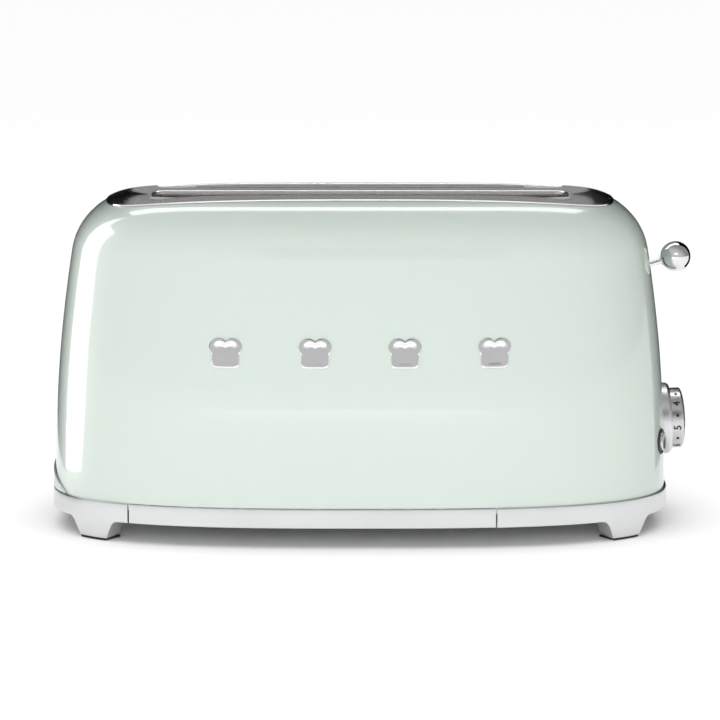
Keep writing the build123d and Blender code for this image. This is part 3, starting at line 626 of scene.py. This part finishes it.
# %% Wrap a casting round the outline
def ring_rows(base, footed):
    """(height, pull inwards) up the casting's outer face, from its lower edge to its top."""
    rows = []
    edge, top = 0.6 * MM, 0.9 * MM
    for step in range(4):
        angle = pi / 2 * step / 3
        rows.append((base + edge * (1 - cos(angle)), edge * (1 - sin(angle))))
    low, lip = base + edge, RING_LOW + LIP_HEIGHT - 0.05 * MM
    for share in (0.25, 0.5, 0.75, 1.0):
        rows.append((low + (lip - low) * share, 0.0))
    rows += [(RING_LOW + LIP_HEIGHT, 0.0), (SEAT_Z - 0.05 * MM, 0.0), (SEAT_Z, 0.0)]
    for step in range(5):
        angle = pi / 2 * step / 4
        rows.append((RING_TOP - top + top * sin(angle), top * (1 - cos(angle))))
    if footed:
        reach = RING_LOW + LIP_HEIGHT
        rows = [(z, pull + FOOT_DRAFT * max(0.0, 1 - z / reach) ** 1.2) for z, pull in rows]
    return rows


def stations(start, end, footed):
    """Runs along the outline, closer together at the feet."""
    fine, coarse = 0.4 * MM, 1.6 * MM
    runs, run = [start], start
    while run < end:
        near = footed and foot_distance(run + 0.5 * MM) < 23 * MM
        run += fine if near else coarse
        runs.append(min(run, end))
    if runs[-1] - runs[-2] < 0.1 * MM:
        runs.pop(-2)
    return runs


def wrapped_casting(name, start, end, recess, footed):
    """One part of the ring, from a start to an end along the outline, with or without feet."""
    runs = stations(start, end, footed)
    rows = len(ring_rows(RING_LOW, False))
    clear_selection()
    bpy.ops.mesh.primitive_grid_add(x_subdivisions=len(runs) - 1, y_subdivisions=rows - 1, size=1)
    piece = new_piece(name)
    columns = []
    for run in runs:
        away = foot_distance(run)
        base = max(PAD_HEIGHT, flank_height(away)) if footed else RING_LOW
        near = footed and away < FOOT_REACH
        columns.append((ring_rows(base, near), near))
    outer, inner = {}, {}
    for vertex in piece.data.vertices:
        column = int(round((vertex.co.x + 0.5) * (len(runs) - 1)))
        row = int(round((vertex.co.y + 0.5) * (rows - 1)))
        table, near = columns[column]
        z, pull = table[row]
        if z >= SEAT_Z - 0.01 * MM:
            depth = GROOVE_LIP
        elif z >= RING_LOW + LIP_HEIGHT - 0.02 * MM:
            depth = CASTING_BAND
        else:
            depth = FOOT_DEPTH if near else CASTING_LIP
        outer[vertex.index] = (*ring_line.at(runs[column], recess + pull), z)
        inner[vertex.index] = (*ring_line.at(runs[column], max(depth, recess + pull)), z)
    edit_all()
    bpy.ops.mesh.extrude_region_move(TRANSFORM_OT_translate={"value": (0, 0, 1)})
    bpy.ops.object.mode_set(mode="OBJECT")
    for vertex in piece.data.vertices:
        column = int(round((vertex.co.x + 0.5) * (len(runs) - 1)))
        row = int(round((vertex.co.y + 0.5) * (rows - 1)))
        key = row * len(runs) + column
        vertex.co = inner[key] if vertex.co.z > 0.5 else outer[key]
        vertex.co.x += MIDDLE_X
    face_out(piece)
    smooth(piece, 35)
    print(name, "wrapped over", len(runs), "stations")
    return piece


# %% The four parts of the ring
SEAM_GAP = 0.8 * MM
left_seam, right_seam = LEFT_SEAM - MIDDLE_X, RIGHT_SEAM - MIDDLE_X
front_left, front_right = ring_line.run_of(left_seam), ring_line.run_of(right_seam)
rear_left, rear_right = ring_line.run_of(left_seam, False), ring_line.run_of(right_seam, False)
around = ring_line.length
if front_right > around / 2:
    front_right -= around
if front_left > around / 2:
    front_left -= around
base_left_end = wrapped_casting("base_left_casting", rear_left, front_left + around, 0.0, True)
base_right_end = wrapped_casting("base_right_casting", front_right, rear_right, 0.0, True)
base_front_strip = wrapped_casting("base_front_band", front_left + SEAM_GAP, front_right - SEAM_GAP,
                                   STRIP_RECESS, False)
base_rear_strip = wrapped_casting("base_rear_band", rear_right + SEAM_GAP, rear_left - SEAM_GAP,
                                  STRIP_RECESS, False)
for piece, node in ((base_left_end, "base_left_end"), (base_right_end, "base_right_end"),
                    (base_front_strip, "base_front_strip"), (base_rear_strip, "base_rear_strip")):
    wear(piece, "satin_casting", "housing", node)

# %% [markdown]
# ## Top plate
# A polished steel plate lies on the crown, and the edges of its two bread slots are rolled down into
# it. The plate starts as a fine flat grid, which is thickened, trimmed to its outline and pierced while
# it is still flat, because cuts are cleanest there. Then each point is lifted onto the crown.

# %% Plate blank
PLATE_HALF_X = (plate_high.x - plate_low.x) / 2
PLATE_HALF_Y = (plate_high.y - plate_low.y) / 2
PLATE_POWER = 4.2
SLOT_HALF_X = 131 * MM
SLOT_HALF_Y = 18 * MM
SLOT_MIDDLE_Y = 29 * MM
SLOT_CORNER = 8 * MM
ROLL = 2.2 * MM
EDGE_ROUND = 0.35 * MM

clear_selection()
bpy.ops.mesh.primitive_grid_add(x_subdivisions=108, y_subdivisions=42, size=1)
top_plate = new_piece("polished_top_plate")
top_plate.scale = (2 * PLATE_HALF_X + 6 * MM, 2 * PLATE_HALF_Y + 6 * MM, 1)
settle(top_plate)
add_modifier(top_plate, "SOLIDIFY", thickness=PLATE_THICKNESS, offset=-1)
plate_line = Outline(PLATE_HALF_X, PLATE_HALF_Y, PLATE_POWER)
clear_selection()
bpy.ops.mesh.primitive_cylinder_add(vertices=256, radius=1, depth=2, location=(0, 0, 0))
trim = bpy.context.object
for index, vertex in enumerate(trim.data.vertices):
    run = (atan2(vertex.co.y, vertex.co.x) / (2 * pi) + 0.25) % 1
    x, y = plate_line.at(plate_line.length * run)
    vertex.co.x, vertex.co.y, vertex.co.z = x, y, vertex.co.z * 5 * MM
cut(top_plate, [trim], "INTERSECT")
hole_x, hole_y = SLOT_HALF_X + ROLL, SLOT_HALF_Y + ROLL
for middle_y in (-SLOT_MIDDLE_Y, SLOT_MIDDLE_Y):
    cut(top_plate, [box_cutter((-hole_x, middle_y - hole_y, -5 * MM), (hole_x, middle_y + hole_y, 5 * MM),
                               SLOT_CORNER + ROLL, along=2, segments=16)])
print("plate blank pierced,", len(top_plate.data.polygons), "faces")

# %% Lift the plate onto the crown
def on_crown(x, y, z):
    top = crown_height(x, y, PLATE_GAP + PLATE_THICKNESS)
    return Vector((x + MIDDLE_X, y, top + z))


move_points(top_plate, on_crown)
face_out(top_plate)
add_modifier(top_plate, "BEVEL", width=EDGE_ROUND, segments=2, limit_method="ANGLE",
             angle_limit=radians(50))
smooth(top_plate, 40)
wear(top_plate, "polished_steel", "housing", "top_plate")

# %% [markdown]
# ## Rolled slot rims
# Round each slot the plate's edge is rolled down into a short collar, which keeps the bread from
# catching. The rim is a rounded loop whose edge is extruded down ring by ring, first round the roll and
# then straight down, and it follows the crown like the plate.

# %% Roll one rim and copy it
COLLAR_DEPTH = 11.6 * MM
RIM_WALL = 0.9 * MM
LEVEL_OFF = 6 * MM


def slot_rim(name, side):
    """The rolled rim of the front slot, side -1, or of the rear slot, side 1."""
    clear_selection()
    bpy.ops.mesh.primitive_plane_add(size=1, location=(0, 0, 0))
    rim = new_piece(name)
    rim.scale = (2 * hole_x, 2 * hole_y, 1)
    settle(rim)
    edit_all()
    bpy.ops.mesh.bevel(offset=SLOT_CORNER + ROLL, segments=18, affect="VERTICES")
    bpy.ops.mesh.select_all(action="SELECT")
    bpy.ops.mesh.delete(type="ONLY_FACE")
    pick_edges(rim, lambda a, b: (a - b).length > 15 * MM)
    bpy.ops.mesh.subdivide(number_cuts=40)
    bpy.ops.mesh.select_all(action="SELECT")
    level = 0.0
    steps = [(ROLL * (1 - sin(pi / 2 * k / 8)), -ROLL * (1 - cos(pi / 2 * k / 8))) for k in range(1, 9)]
    steps += [(0.0, -COLLAR_DEPTH * share) for share in (0.4, 0.7, 1.0)]
    for next_offset, next_level in steps:
        bpy.ops.mesh.extrude_region_move(
            TRANSFORM_OT_translate={"value": (0, 0, next_level - level)})
        bpy.ops.object.mode_set(mode="OBJECT")
        for vertex in rim.data.vertices:
            if vertex.select:
                x, y = vertex.co.x, vertex.co.y
                flat_x, flat_y = SLOT_HALF_X - SLOT_CORNER, SLOT_HALF_Y - SLOT_CORNER
                core = Vector((max(-flat_x, min(flat_x, x)), max(-flat_y, min(flat_y, y))))
                out = (Vector((x, y)) - core).normalized()
                vertex.co.x, vertex.co.y = core + out * (SLOT_CORNER + next_offset)
        bpy.ops.object.mode_set(mode="EDIT")
        level = next_level
    bpy.ops.object.mode_set(mode="OBJECT")
    face_out(rim)
    inner = sum(1 for f in rim.data.polygons
                if abs(f.center.x) < SLOT_HALF_X and f.normal.y * f.center.y < 0)
    if inner < len(rim.data.polygons) / 4:
        rim.data.flip_normals()
    add_modifier(rim, "SOLIDIFY", thickness=RIM_WALL, offset=-1, use_even_offset=True)
    for vertex in rim.data.vertices:
        x, y = vertex.co.x, vertex.co.y + side * SLOT_MIDDLE_Y
        top = crown_height(x, y, PLATE_GAP + PLATE_THICKNESS)
        drop = vertex.co.z
        straight = min(1, max(0, -drop - ROLL) / LEVEL_OFF)
        vertex.co = (x + MIDDLE_X, y, top + (plate_high.z - top) * straight + drop)
    smooth(rim, 50)
    return rim


wear(slot_rim("front_slot_rim", -1), "polished_steel", "housing")
wear(slot_rim("rear_slot_rim", 1), "polished_steel", "housing")

# %% [markdown]
# ## Crumb tray handle
# The tray is pulled out by an arched plate that lies on the left end wall. It is bent to the wall, so a
# flat grid is shaped to the arch, laid on the wall, thickened outwards and given soft edges.

# %% Bend the handle
handle_low, handle_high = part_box("crumb_tray_handle")
HANDLE_HALF = handle_high.y
HANDLE_RISE = handle_high.z - handle_low.z
HANDLE_THICKNESS = 1.0 * MM
HANDLE_GAP = 0.3 * MM
handle_radius = (HANDLE_HALF ** 2 + HANDLE_RISE ** 2) / (2 * HANDLE_RISE)

clear_selection()
bpy.ops.mesh.primitive_grid_add(x_subdivisions=120, y_subdivisions=10, size=1)
tray_handle = new_piece("crumb_tray_pull")


def on_left_wall(u, v, _):
    share, up = 2 * u * 0.985, v + 0.5
    y = share * HANDLE_HALF
    arch = sqrt(handle_radius ** 2 - y ** 2) - handle_radius + HANDLE_RISE
    z = handle_low.z + max(0.25 * MM, arch) * up
    out = HANDLE_GAP - lean(z)
    return Vector((MIDDLE_X - outline_at(y, BODY_B + out, BODY_A + out), y, z))


move_points(tray_handle, on_left_wall)
if sum(face.normal.x for face in tray_handle.data.polygons) > 0:
    tray_handle.data.flip_normals()
add_modifier(tray_handle, "SOLIDIFY", thickness=HANDLE_THICKNESS, offset=1, use_even_offset=True)
add_modifier(tray_handle, "BEVEL", width=0.28 * MM, segments=3, limit_method="ANGLE",
             angle_limit=radians(50))
smooth(tray_handle, 50)
wear(tray_handle, "satin_casting", "tray", "crumb_tray_handle")

# %% [markdown]
# ## Front ornaments
# Four small plated slices of bread stand on the front. One is drawn as a flat loaf, extruded and
# bevelled, and the others are copies of it. Each is then laid on the curved wall.

# %% Model one slice and copy it
TOKEN_HALF = 10 * MM
TOKEN_RISE = 9 * MM
TOKEN_THICKNESS = 0.95 * MM
TOKEN_PITCH = 54.6 * MM
TOKEN_Z = 120 * MM


def in_loaf(across, up):
    """A loaf's outline is a rounded square with two lobes at its top."""
    square = (abs(across) / (0.84 * TOKEN_HALF)) ** 7 + (abs(up + MM) / (TOKEN_RISE - MM)) ** 7 < 1
    lobe = hypot(abs(across) - 0.42 * TOKEN_HALF, up - 0.40 * TOKEN_RISE) < 0.58 * TOKEN_HALF
    return square or lobe


def loaf_edge(angle):
    """The distance from the middle of a slice of bread to its crust."""
    reach = 1.5 * TOKEN_HALF
    while not in_loaf(reach * cos(angle), reach * sin(angle)):
        reach -= 0.02 * MM
    return reach


clear_selection()
bpy.ops.mesh.primitive_circle_add(vertices=96, radius=1, location=(0, 0, 0), fill_type="NOTHING")
slice_blank = new_piece("bread_slice_1")
for vertex in slice_blank.data.vertices:
    angle = atan2(vertex.co.y, vertex.co.x)
    reach = loaf_edge(angle)
    vertex.co = (reach * cos(angle), reach * sin(angle), 0)
edit_all()
for rise, shrink in ((0.7 * TOKEN_THICKNESS, 1.0), (0.22 * TOKEN_THICKNESS, 0.975),
                     (0.08 * TOKEN_THICKNESS, 0.93), (0.0, 0.86), (-0.3 * TOKEN_THICKNESS, 0.83),
                     (0.0, 0.5), (0.0, 0.5)):
    bpy.ops.mesh.extrude_region_move(TRANSFORM_OT_translate={"value": (0, 0, rise)})
    bpy.ops.transform.resize(value=(shrink, shrink, 1), center_override=(0, 0, 0))
bpy.ops.mesh.edge_face_add()
bpy.ops.object.mode_set(mode="OBJECT")
face_out(slice_blank)
for index in range(4):
    piece = slice_blank if index == 3 else slice_blank.copy()
    if index != 3:
        piece.data = slice_blank.data.copy()
        bpy.context.collection.objects.link(piece)
    piece.name = piece.data.name = "bread_slice_%d" % (index + 1)
    middle = (index - 1.5) * TOKEN_PITCH

    def on_front(u, v, proud, middle=middle):
        x, z = middle + u, TOKEN_Z + v
        y = -outline_at(x, BODY_A - lean(z), BODY_B - lean(z))
        return Vector((x + MIDDLE_X, y, z)) + wall_normal(x, y, z) * proud

    move_points(piece, on_front)
    face_out(piece)
    smooth(piece, 28)
    wear(piece, "chrome", "housing", *(["front_tokens"] if index == 3 else []))

# %% [markdown]
# ## Lever ball and stem
# The lever ends in a chromed ball on a slim stem. Both are turned parts, so they come off the lathe
# helper: the ball with a small collar where the stem enters it.

# %% Turn the ball and the stem
BALL_R = 9.7 * MM
STEM_R = 1.85 * MM
LEVER_TILT = radians(18)
ball_low, ball_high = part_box("lever_ball")
ball_centre = Vector((ball_high.x - BALL_R, 0, (ball_low.z + ball_high.z) / 2))
lever_way = Vector((cos(LEVER_TILT), 0, sin(LEVER_TILT)))

COLLAR_R = STEM_R + 1.1 * MM
ball_profile = [(STEM_R + 0.3 * MM, -BALL_R - 0.2 * MM), (COLLAR_R - 0.2 * MM, -BALL_R - 0.2 * MM),
                (COLLAR_R, -BALL_R + 0.1 * MM)]
start = -sqrt(BALL_R ** 2 - COLLAR_R ** 2)
first = atan2(start, COLLAR_R)
for step in range(34):
    angle = first + (pi / 2 - 0.02 - first) * step / 33
    ball_profile.append((BALL_R * cos(angle), BALL_R * sin(angle)))
lever_ball = lathe("chromed_ball", ball_profile, ball_centre, lever_way)
close_ends(lever_ball)
smooth(lever_ball, 40)
wear(lever_ball, "chrome", "lift_carriage", "lever_ball")

STEM_BACK = 36.2 * MM
stem_profile = rounded([(0.4 * MM, -STEM_BACK), (STEM_R, -STEM_BACK), (STEM_R, -BALL_R + 0.4 * MM),
                        (0.4 * MM, -BALL_R + 0.4 * MM)], 0.3 * MM)
lever_stem = lathe("chromed_stem", stem_profile, ball_centre, lever_way, 40)
close_ends(lever_stem)
smooth(lever_stem, 40)
wear(lever_stem, "chrome", "lift_carriage", "lever_stem")

# %% [markdown]
# ## Dial and its bezel
# The browning dial is a silver cap with numbers round its skirt, set in a plated bezel. The cap's face
# is slightly domed, and its skirt is plain, so that the numbers can be read on it. Each profile is a
# list of (radius, height) pairs in millimetres.

# %% Turn the bezel
bezel_profile = rounded([(19.9, -3.0), (23.0, -3.0), (23.0, 3.4), (21.9, 5.2), (19.95, 5.2),
                         (19.9, -2.9)], 0.45, 4)
knob_bezel = lathe("dial_bezel", [(r * MM, h * MM) for r, h in bezel_profile], knob_point, knob_axis,
                   160, closed=True)
smooth(knob_bezel, 35)
wear(knob_bezel, "satin_casting", "housing", "knob_bezel")

# %% Turn the dial cap
cap_profile = rounded([(0.5, 6.0), (16.5, 6.0), (16.5, 1.7), (19.4, 1.7), (19.45, 12.0), (18.6, 12.9),
                       (16.0, 13.7), (12.0, 14.35), (6.0, 14.85), (0.5, 14.95)], 0.5, 4)
browning_knob = lathe("browning_dial", [(r * MM, h * MM) for r, h in cap_profile], knob_point,
                      knob_axis, 160)
close_ends(browning_knob)
smooth(browning_knob, 30)
wear(browning_knob, "dial_silver", "knob", "browning_knob")

# %% [markdown]
# ## Numbers on the dial
# Each number is a text object turned into a mesh, given a little thickness, and wrapped round the
# skirt by moving its points. Dots stand half way between the numbers.

# %% Wrap the numbers round the skirt
NUMBER_PITCH = 47.0
FIVE_ANGLE = 100.0
NUMBER_SIZE = 6.6 * MM
SKIRT_R = 19.46 * MM
NUMBER_HEIGHT = 8.8 * MM
dial_turn = Vector((0, 0, 1)).rotation_difference(knob_axis).to_matrix().to_4x4()
dial_place = Matrix.Translation(knob_point) @ dial_turn


def wrap_on_skirt(piece, angle):
    """Lays a flat mark on the skirt, its top towards the body, at an angle from the dial's top."""
    for vertex in piece.data.vertices:
        across, up, proud = vertex.co
        turn = radians(angle) - across / SKIRT_R
        radius = SKIRT_R + proud
        point = Vector((radius * cos(turn), -radius * sin(turn), NUMBER_HEIGHT - up))
        upright = Vector((-point.x, point.y, point.z))
        vertex.co = dial_place @ upright
    face_out(piece)


marks = []
for number in range(1, 7):
    angle = FIVE_ANGLE + NUMBER_PITCH * (number - 5)
    clear_selection()
    bpy.ops.object.text_add(location=(0, 0, 0))
    label = bpy.context.object
    label.data.body = str(number)
    label.data.align_x, label.data.align_y = "CENTER", "CENTER"
    label.data.size = NUMBER_SIZE
    label.data.extrude = 0.06 * MM
    label.data.offset = 0.16 * MM
    bpy.ops.object.convert(target="MESH")
    mark = new_piece("dial_number_%d" % number)
    wrap_on_skirt(mark, angle)
    marks.append(mark)
    if number < 6:
        clear_selection()
        bpy.ops.mesh.primitive_circle_add(vertices=24, radius=1.0 * MM, location=(0, 0, 0.05 * MM),
                                          fill_type="NGON")
        dot = new_piece("dial_dot_%d" % number)
        settle(dot)
        add_modifier(dot, "SOLIDIFY", thickness=0.1 * MM, offset=-1)
        wrap_on_skirt(dot, angle + NUMBER_PITCH / 2)
        marks.append(dot)
for mark in marks:
    wear(mark, "dial_marks", "knob")

# %% [markdown]
# ## Buttons
# Each button is a silver cap with a shallow dish, in a dark ring let into the wall. The same lathe
# work serves the front button and the rear one.

# %% Turn the buttons and their rings
for name, body, node in (("defrost", "defrost", "defrost_button"), ("cancel", "cancel", "cancel_button")):
    seat, facing = button_seats[name]
    cap = rounded([(0.3, -13.8), (1.8, -13.8), (1.8, -5.8), (6.0, -5.8), (6.0, 1.9), (5.2, 2.2),
                   (4.4, 2.0), (0.3, 1.5)], 0.5, 4)
    button = lathe(name + "_cap", [(r * MM, h * MM) for r, h in cap], seat, facing, 72)
    close_ends(button)
    smooth(button, 35)
    wear(button, "button_silver", body, node)
    collar = rounded([(6.4, -8.0), (8.2, -8.0), (8.2, 0.5), (7.6, 0.9), (6.6, 0.5), (6.4, -7.9)], 0.3, 3)
    ring = lathe(name + "_ring", [(r * MM, h * MM) for r, h in collar], seat, facing, 72, closed=True)
    smooth(ring, 35)
    wear(ring, "dark_plastic", "housing", *(["button_rings"] if name == "cancel" else []))

# %% [markdown]
# ## Cord inlet
# At the rear a moulded bush takes the mains lead. It is turned with a rounded flange and a lead-in.

# %% Turn the inlet bush
bush_profile = rounded([(3.6, -13.8), (5.9, -13.8), (5.9, -1.2), (8.5, -1.0), (8.4, 0.9), (7.2, 1.85),
                        (4.6, 1.85), (3.6, 0.8), (3.6, -13.7)], 0.4, 4)
inlet_y = outline_at(INLET_POINT.x - MIDDLE_X, BODY_A - lean(INLET_POINT.z), BODY_B - lean(INLET_POINT.z))
bush = lathe("cord_bush", [(r * MM, h * MM) for r, h in bush_profile],
             (INLET_POINT.x, inlet_y, INLET_POINT.z), (0, 1, 0), 72, closed=True)
smooth(bush, 35)
wear(bush, "dark_plastic", "housing", "cord_inlet")

# %% [markdown]
# ## Floor, light and camera
# The toaster stands on a plain pale floor that reaches past the horizon, so that nothing but paleness
# shows behind it. Studio gloss is made with two kinds of light: soft lights that only brighten the
# surfaces, and cards that only show as reflections. A bright card overhead draws the line along the
# front shoulder, a tall one at the left draws the line down the corner, and dark cards behind both
# ends keep their edges from fading into the floor. Light linking limits some cards to a few pieces.

# %% Floor
clear_selection()
bpy.ops.mesh.primitive_plane_add(size=160, location=(0, 0, -0.0002))
floor = new_piece("studio_floor")
floor.data.materials.append(make_finish("studio_floor", (0.90, 0.90, 0.90), roughness=0.8, spread=0.05,
                                        grain=20, relief=0.0, mottle=0.004, level=0.2))

# %% Studio surroundings
FRONT_GLOW = 0.66
BACK_GLOW = 0.30
DARK_SIDE = Vector((0.42, 0.78, 0.46))
world = bpy.data.worlds.new("studio")
world.use_nodes = True
bpy.context.scene.world = world
sky = world.node_tree.nodes["Background"]
set_inputs(sky, Strength=1.0)
way = world.node_tree.nodes.new("ShaderNodeTexCoord")
toward = world.node_tree.nodes.new("ShaderNodeVectorMath")
toward.operation = "DOT_PRODUCT"
toward.inputs[1].default_value = DARK_SIDE
fade = world.node_tree.nodes.new("ShaderNodeMapRange")
fade.interpolation_type = "SMOOTHSTEP"
set_inputs(fade, From_Min=-0.35, From_Max=0.55, To_Min=FRONT_GLOW, To_Max=BACK_GLOW)
world.node_tree.links.new(way.outputs["Generated"], toward.inputs[0])
world.node_tree.links.new(toward.outputs["Value"], fade.inputs["Value"])
world.node_tree.links.new(fade.outputs["Result"], sky.inputs["Color"])


# %% Soft lights
def aimed(name, light, place, aim):
    """Hangs a light at a place and turns it to an aim. It doesn't show in reflections."""
    holder = bpy.data.objects.new(name, light)
    bpy.context.scene.collection.objects.link(holder)
    holder.location = place
    holder.rotation_euler = (Vector(aim) - Vector(place)).to_track_quat("-Z", "Y").to_euler()
    holder.visible_glossy = False
    return holder


def soft_light(name, place, aim, width, height, power):
    light = bpy.data.lights.new(name, "AREA")
    light.shape = "RECTANGLE"
    light.size, light.size_y = width, height
    light.energy = power
    return aimed(name, light, place, aim)


soft_light("overhead", (0, -0.3, 1.9), (0, 0, 0.1), 2.6, 1.6, 4)
soft_light("front_fill", (-0.1, -2.6, 0.7), (0, 0, 0.12), 1.6, 1.0, 26)
wash = bpy.data.lights.new("floor_wash", "SUN")
wash.energy = 2.25
wash.angle = radians(80)
washer = aimed("floor_wash", wash, (0, 0, 3), (0, 0, 0))
floor_only = bpy.data.collections.new("floor_only")
floor_only.objects.link(floor)
washer.light_linking.receiver_collection = floor_only


# %% Cards that show only as reflections
def reflected_card(name, corners, strength, *shown_in):
    """A flat glowing card with four corners, shown only in the given pieces if there are any."""
    clear_selection()
    bpy.ops.mesh.primitive_plane_add(size=1, location=(0, 0, 0))
    card = new_piece(name)
    for index, corner in zip((0, 1, 3, 2), corners):
        card.data.vertices[index].co = corner
    glow = bpy.data.materials.new(name)
    glow.use_nodes = True
    shader = glow.node_tree.nodes["Principled BSDF"]
    set_inputs(shader, Base_Color=(0, 0, 0, 1), Emission_Color=(1, 1, 1, 1),
               Emission_Strength=strength, Specular_IOR_Level=0.0)
    card.data.materials.append(glow)
    card.visible_camera = card.visible_diffuse = card.visible_shadow = False
    if shown_in:
        lit = bpy.data.collections.new(name + "_shown_in")
        for piece in shown_in:
            lit.objects.link(piece)
        card.light_linking.receiver_collection = lit


CARD_GLOW = 5.0
FOOT_GLOW = 5.0
BALL_GLOW = 1.3
reflected_card("shoulder_card", ((-1.45, 0.33, 1.30), (0.62, 0.33, 1.30), (0.62, 0.52, 1.20),
                                 (-1.45, 0.52, 1.20)), CARD_GLOW)
reflected_card("corner_card", ((-1.35, -0.10, 0.0), (-1.15, 0.62, 0.0), (-1.15, 0.62, 1.2),
                               (-1.35, -0.10, 1.2)), CARD_GLOW, body_shell, top_plate)
reflected_card("corner_card_foot", ((-0.42, -0.055, 0.002), (-0.38, 0.10, 0.002), (-1.15, 0.62, 0.002),
                                    (-1.35, -0.10, 0.002)), FOOT_GLOW, body_shell)
reflected_card("ball_card", ((-0.5, -2.4, 0.8), (0.9, -2.4, 0.8), (0.9, -2.4, 1.7), (-0.5, -2.4, 1.7)),
               BALL_GLOW, lever_ball)
for name, side, near in (("right_flag", 0.36, 0.08), ("left_flag", -0.38, 0.07)):
    far = side * 0.72
    reflected_card(name, ((side, near, 0.0), (far, 1.20, 0.0), (far, 1.20, 0.6), (side, near, 0.6)), 0.0)

# %% Camera
CAMERA_TILT = 8.42
CAMERA_BACK = 1.689
CAMERA_HEIGHT = 0.352
camera_data = bpy.data.cameras.new("camera")
camera_data.lens = 132.2
camera_data.sensor_width = 36
camera_data.clip_end = 50
camera = bpy.data.objects.new("camera", camera_data)
camera.location = (MIDDLE_X, -CAMERA_BACK, CAMERA_HEIGHT)
camera.rotation_euler = (radians(90 - CAMERA_TILT), 0, 0)
bpy.context.scene.collection.objects.link(camera)
bpy.context.scene.camera = camera
bpy.context.scene.view_settings.view_transform = "Standard"
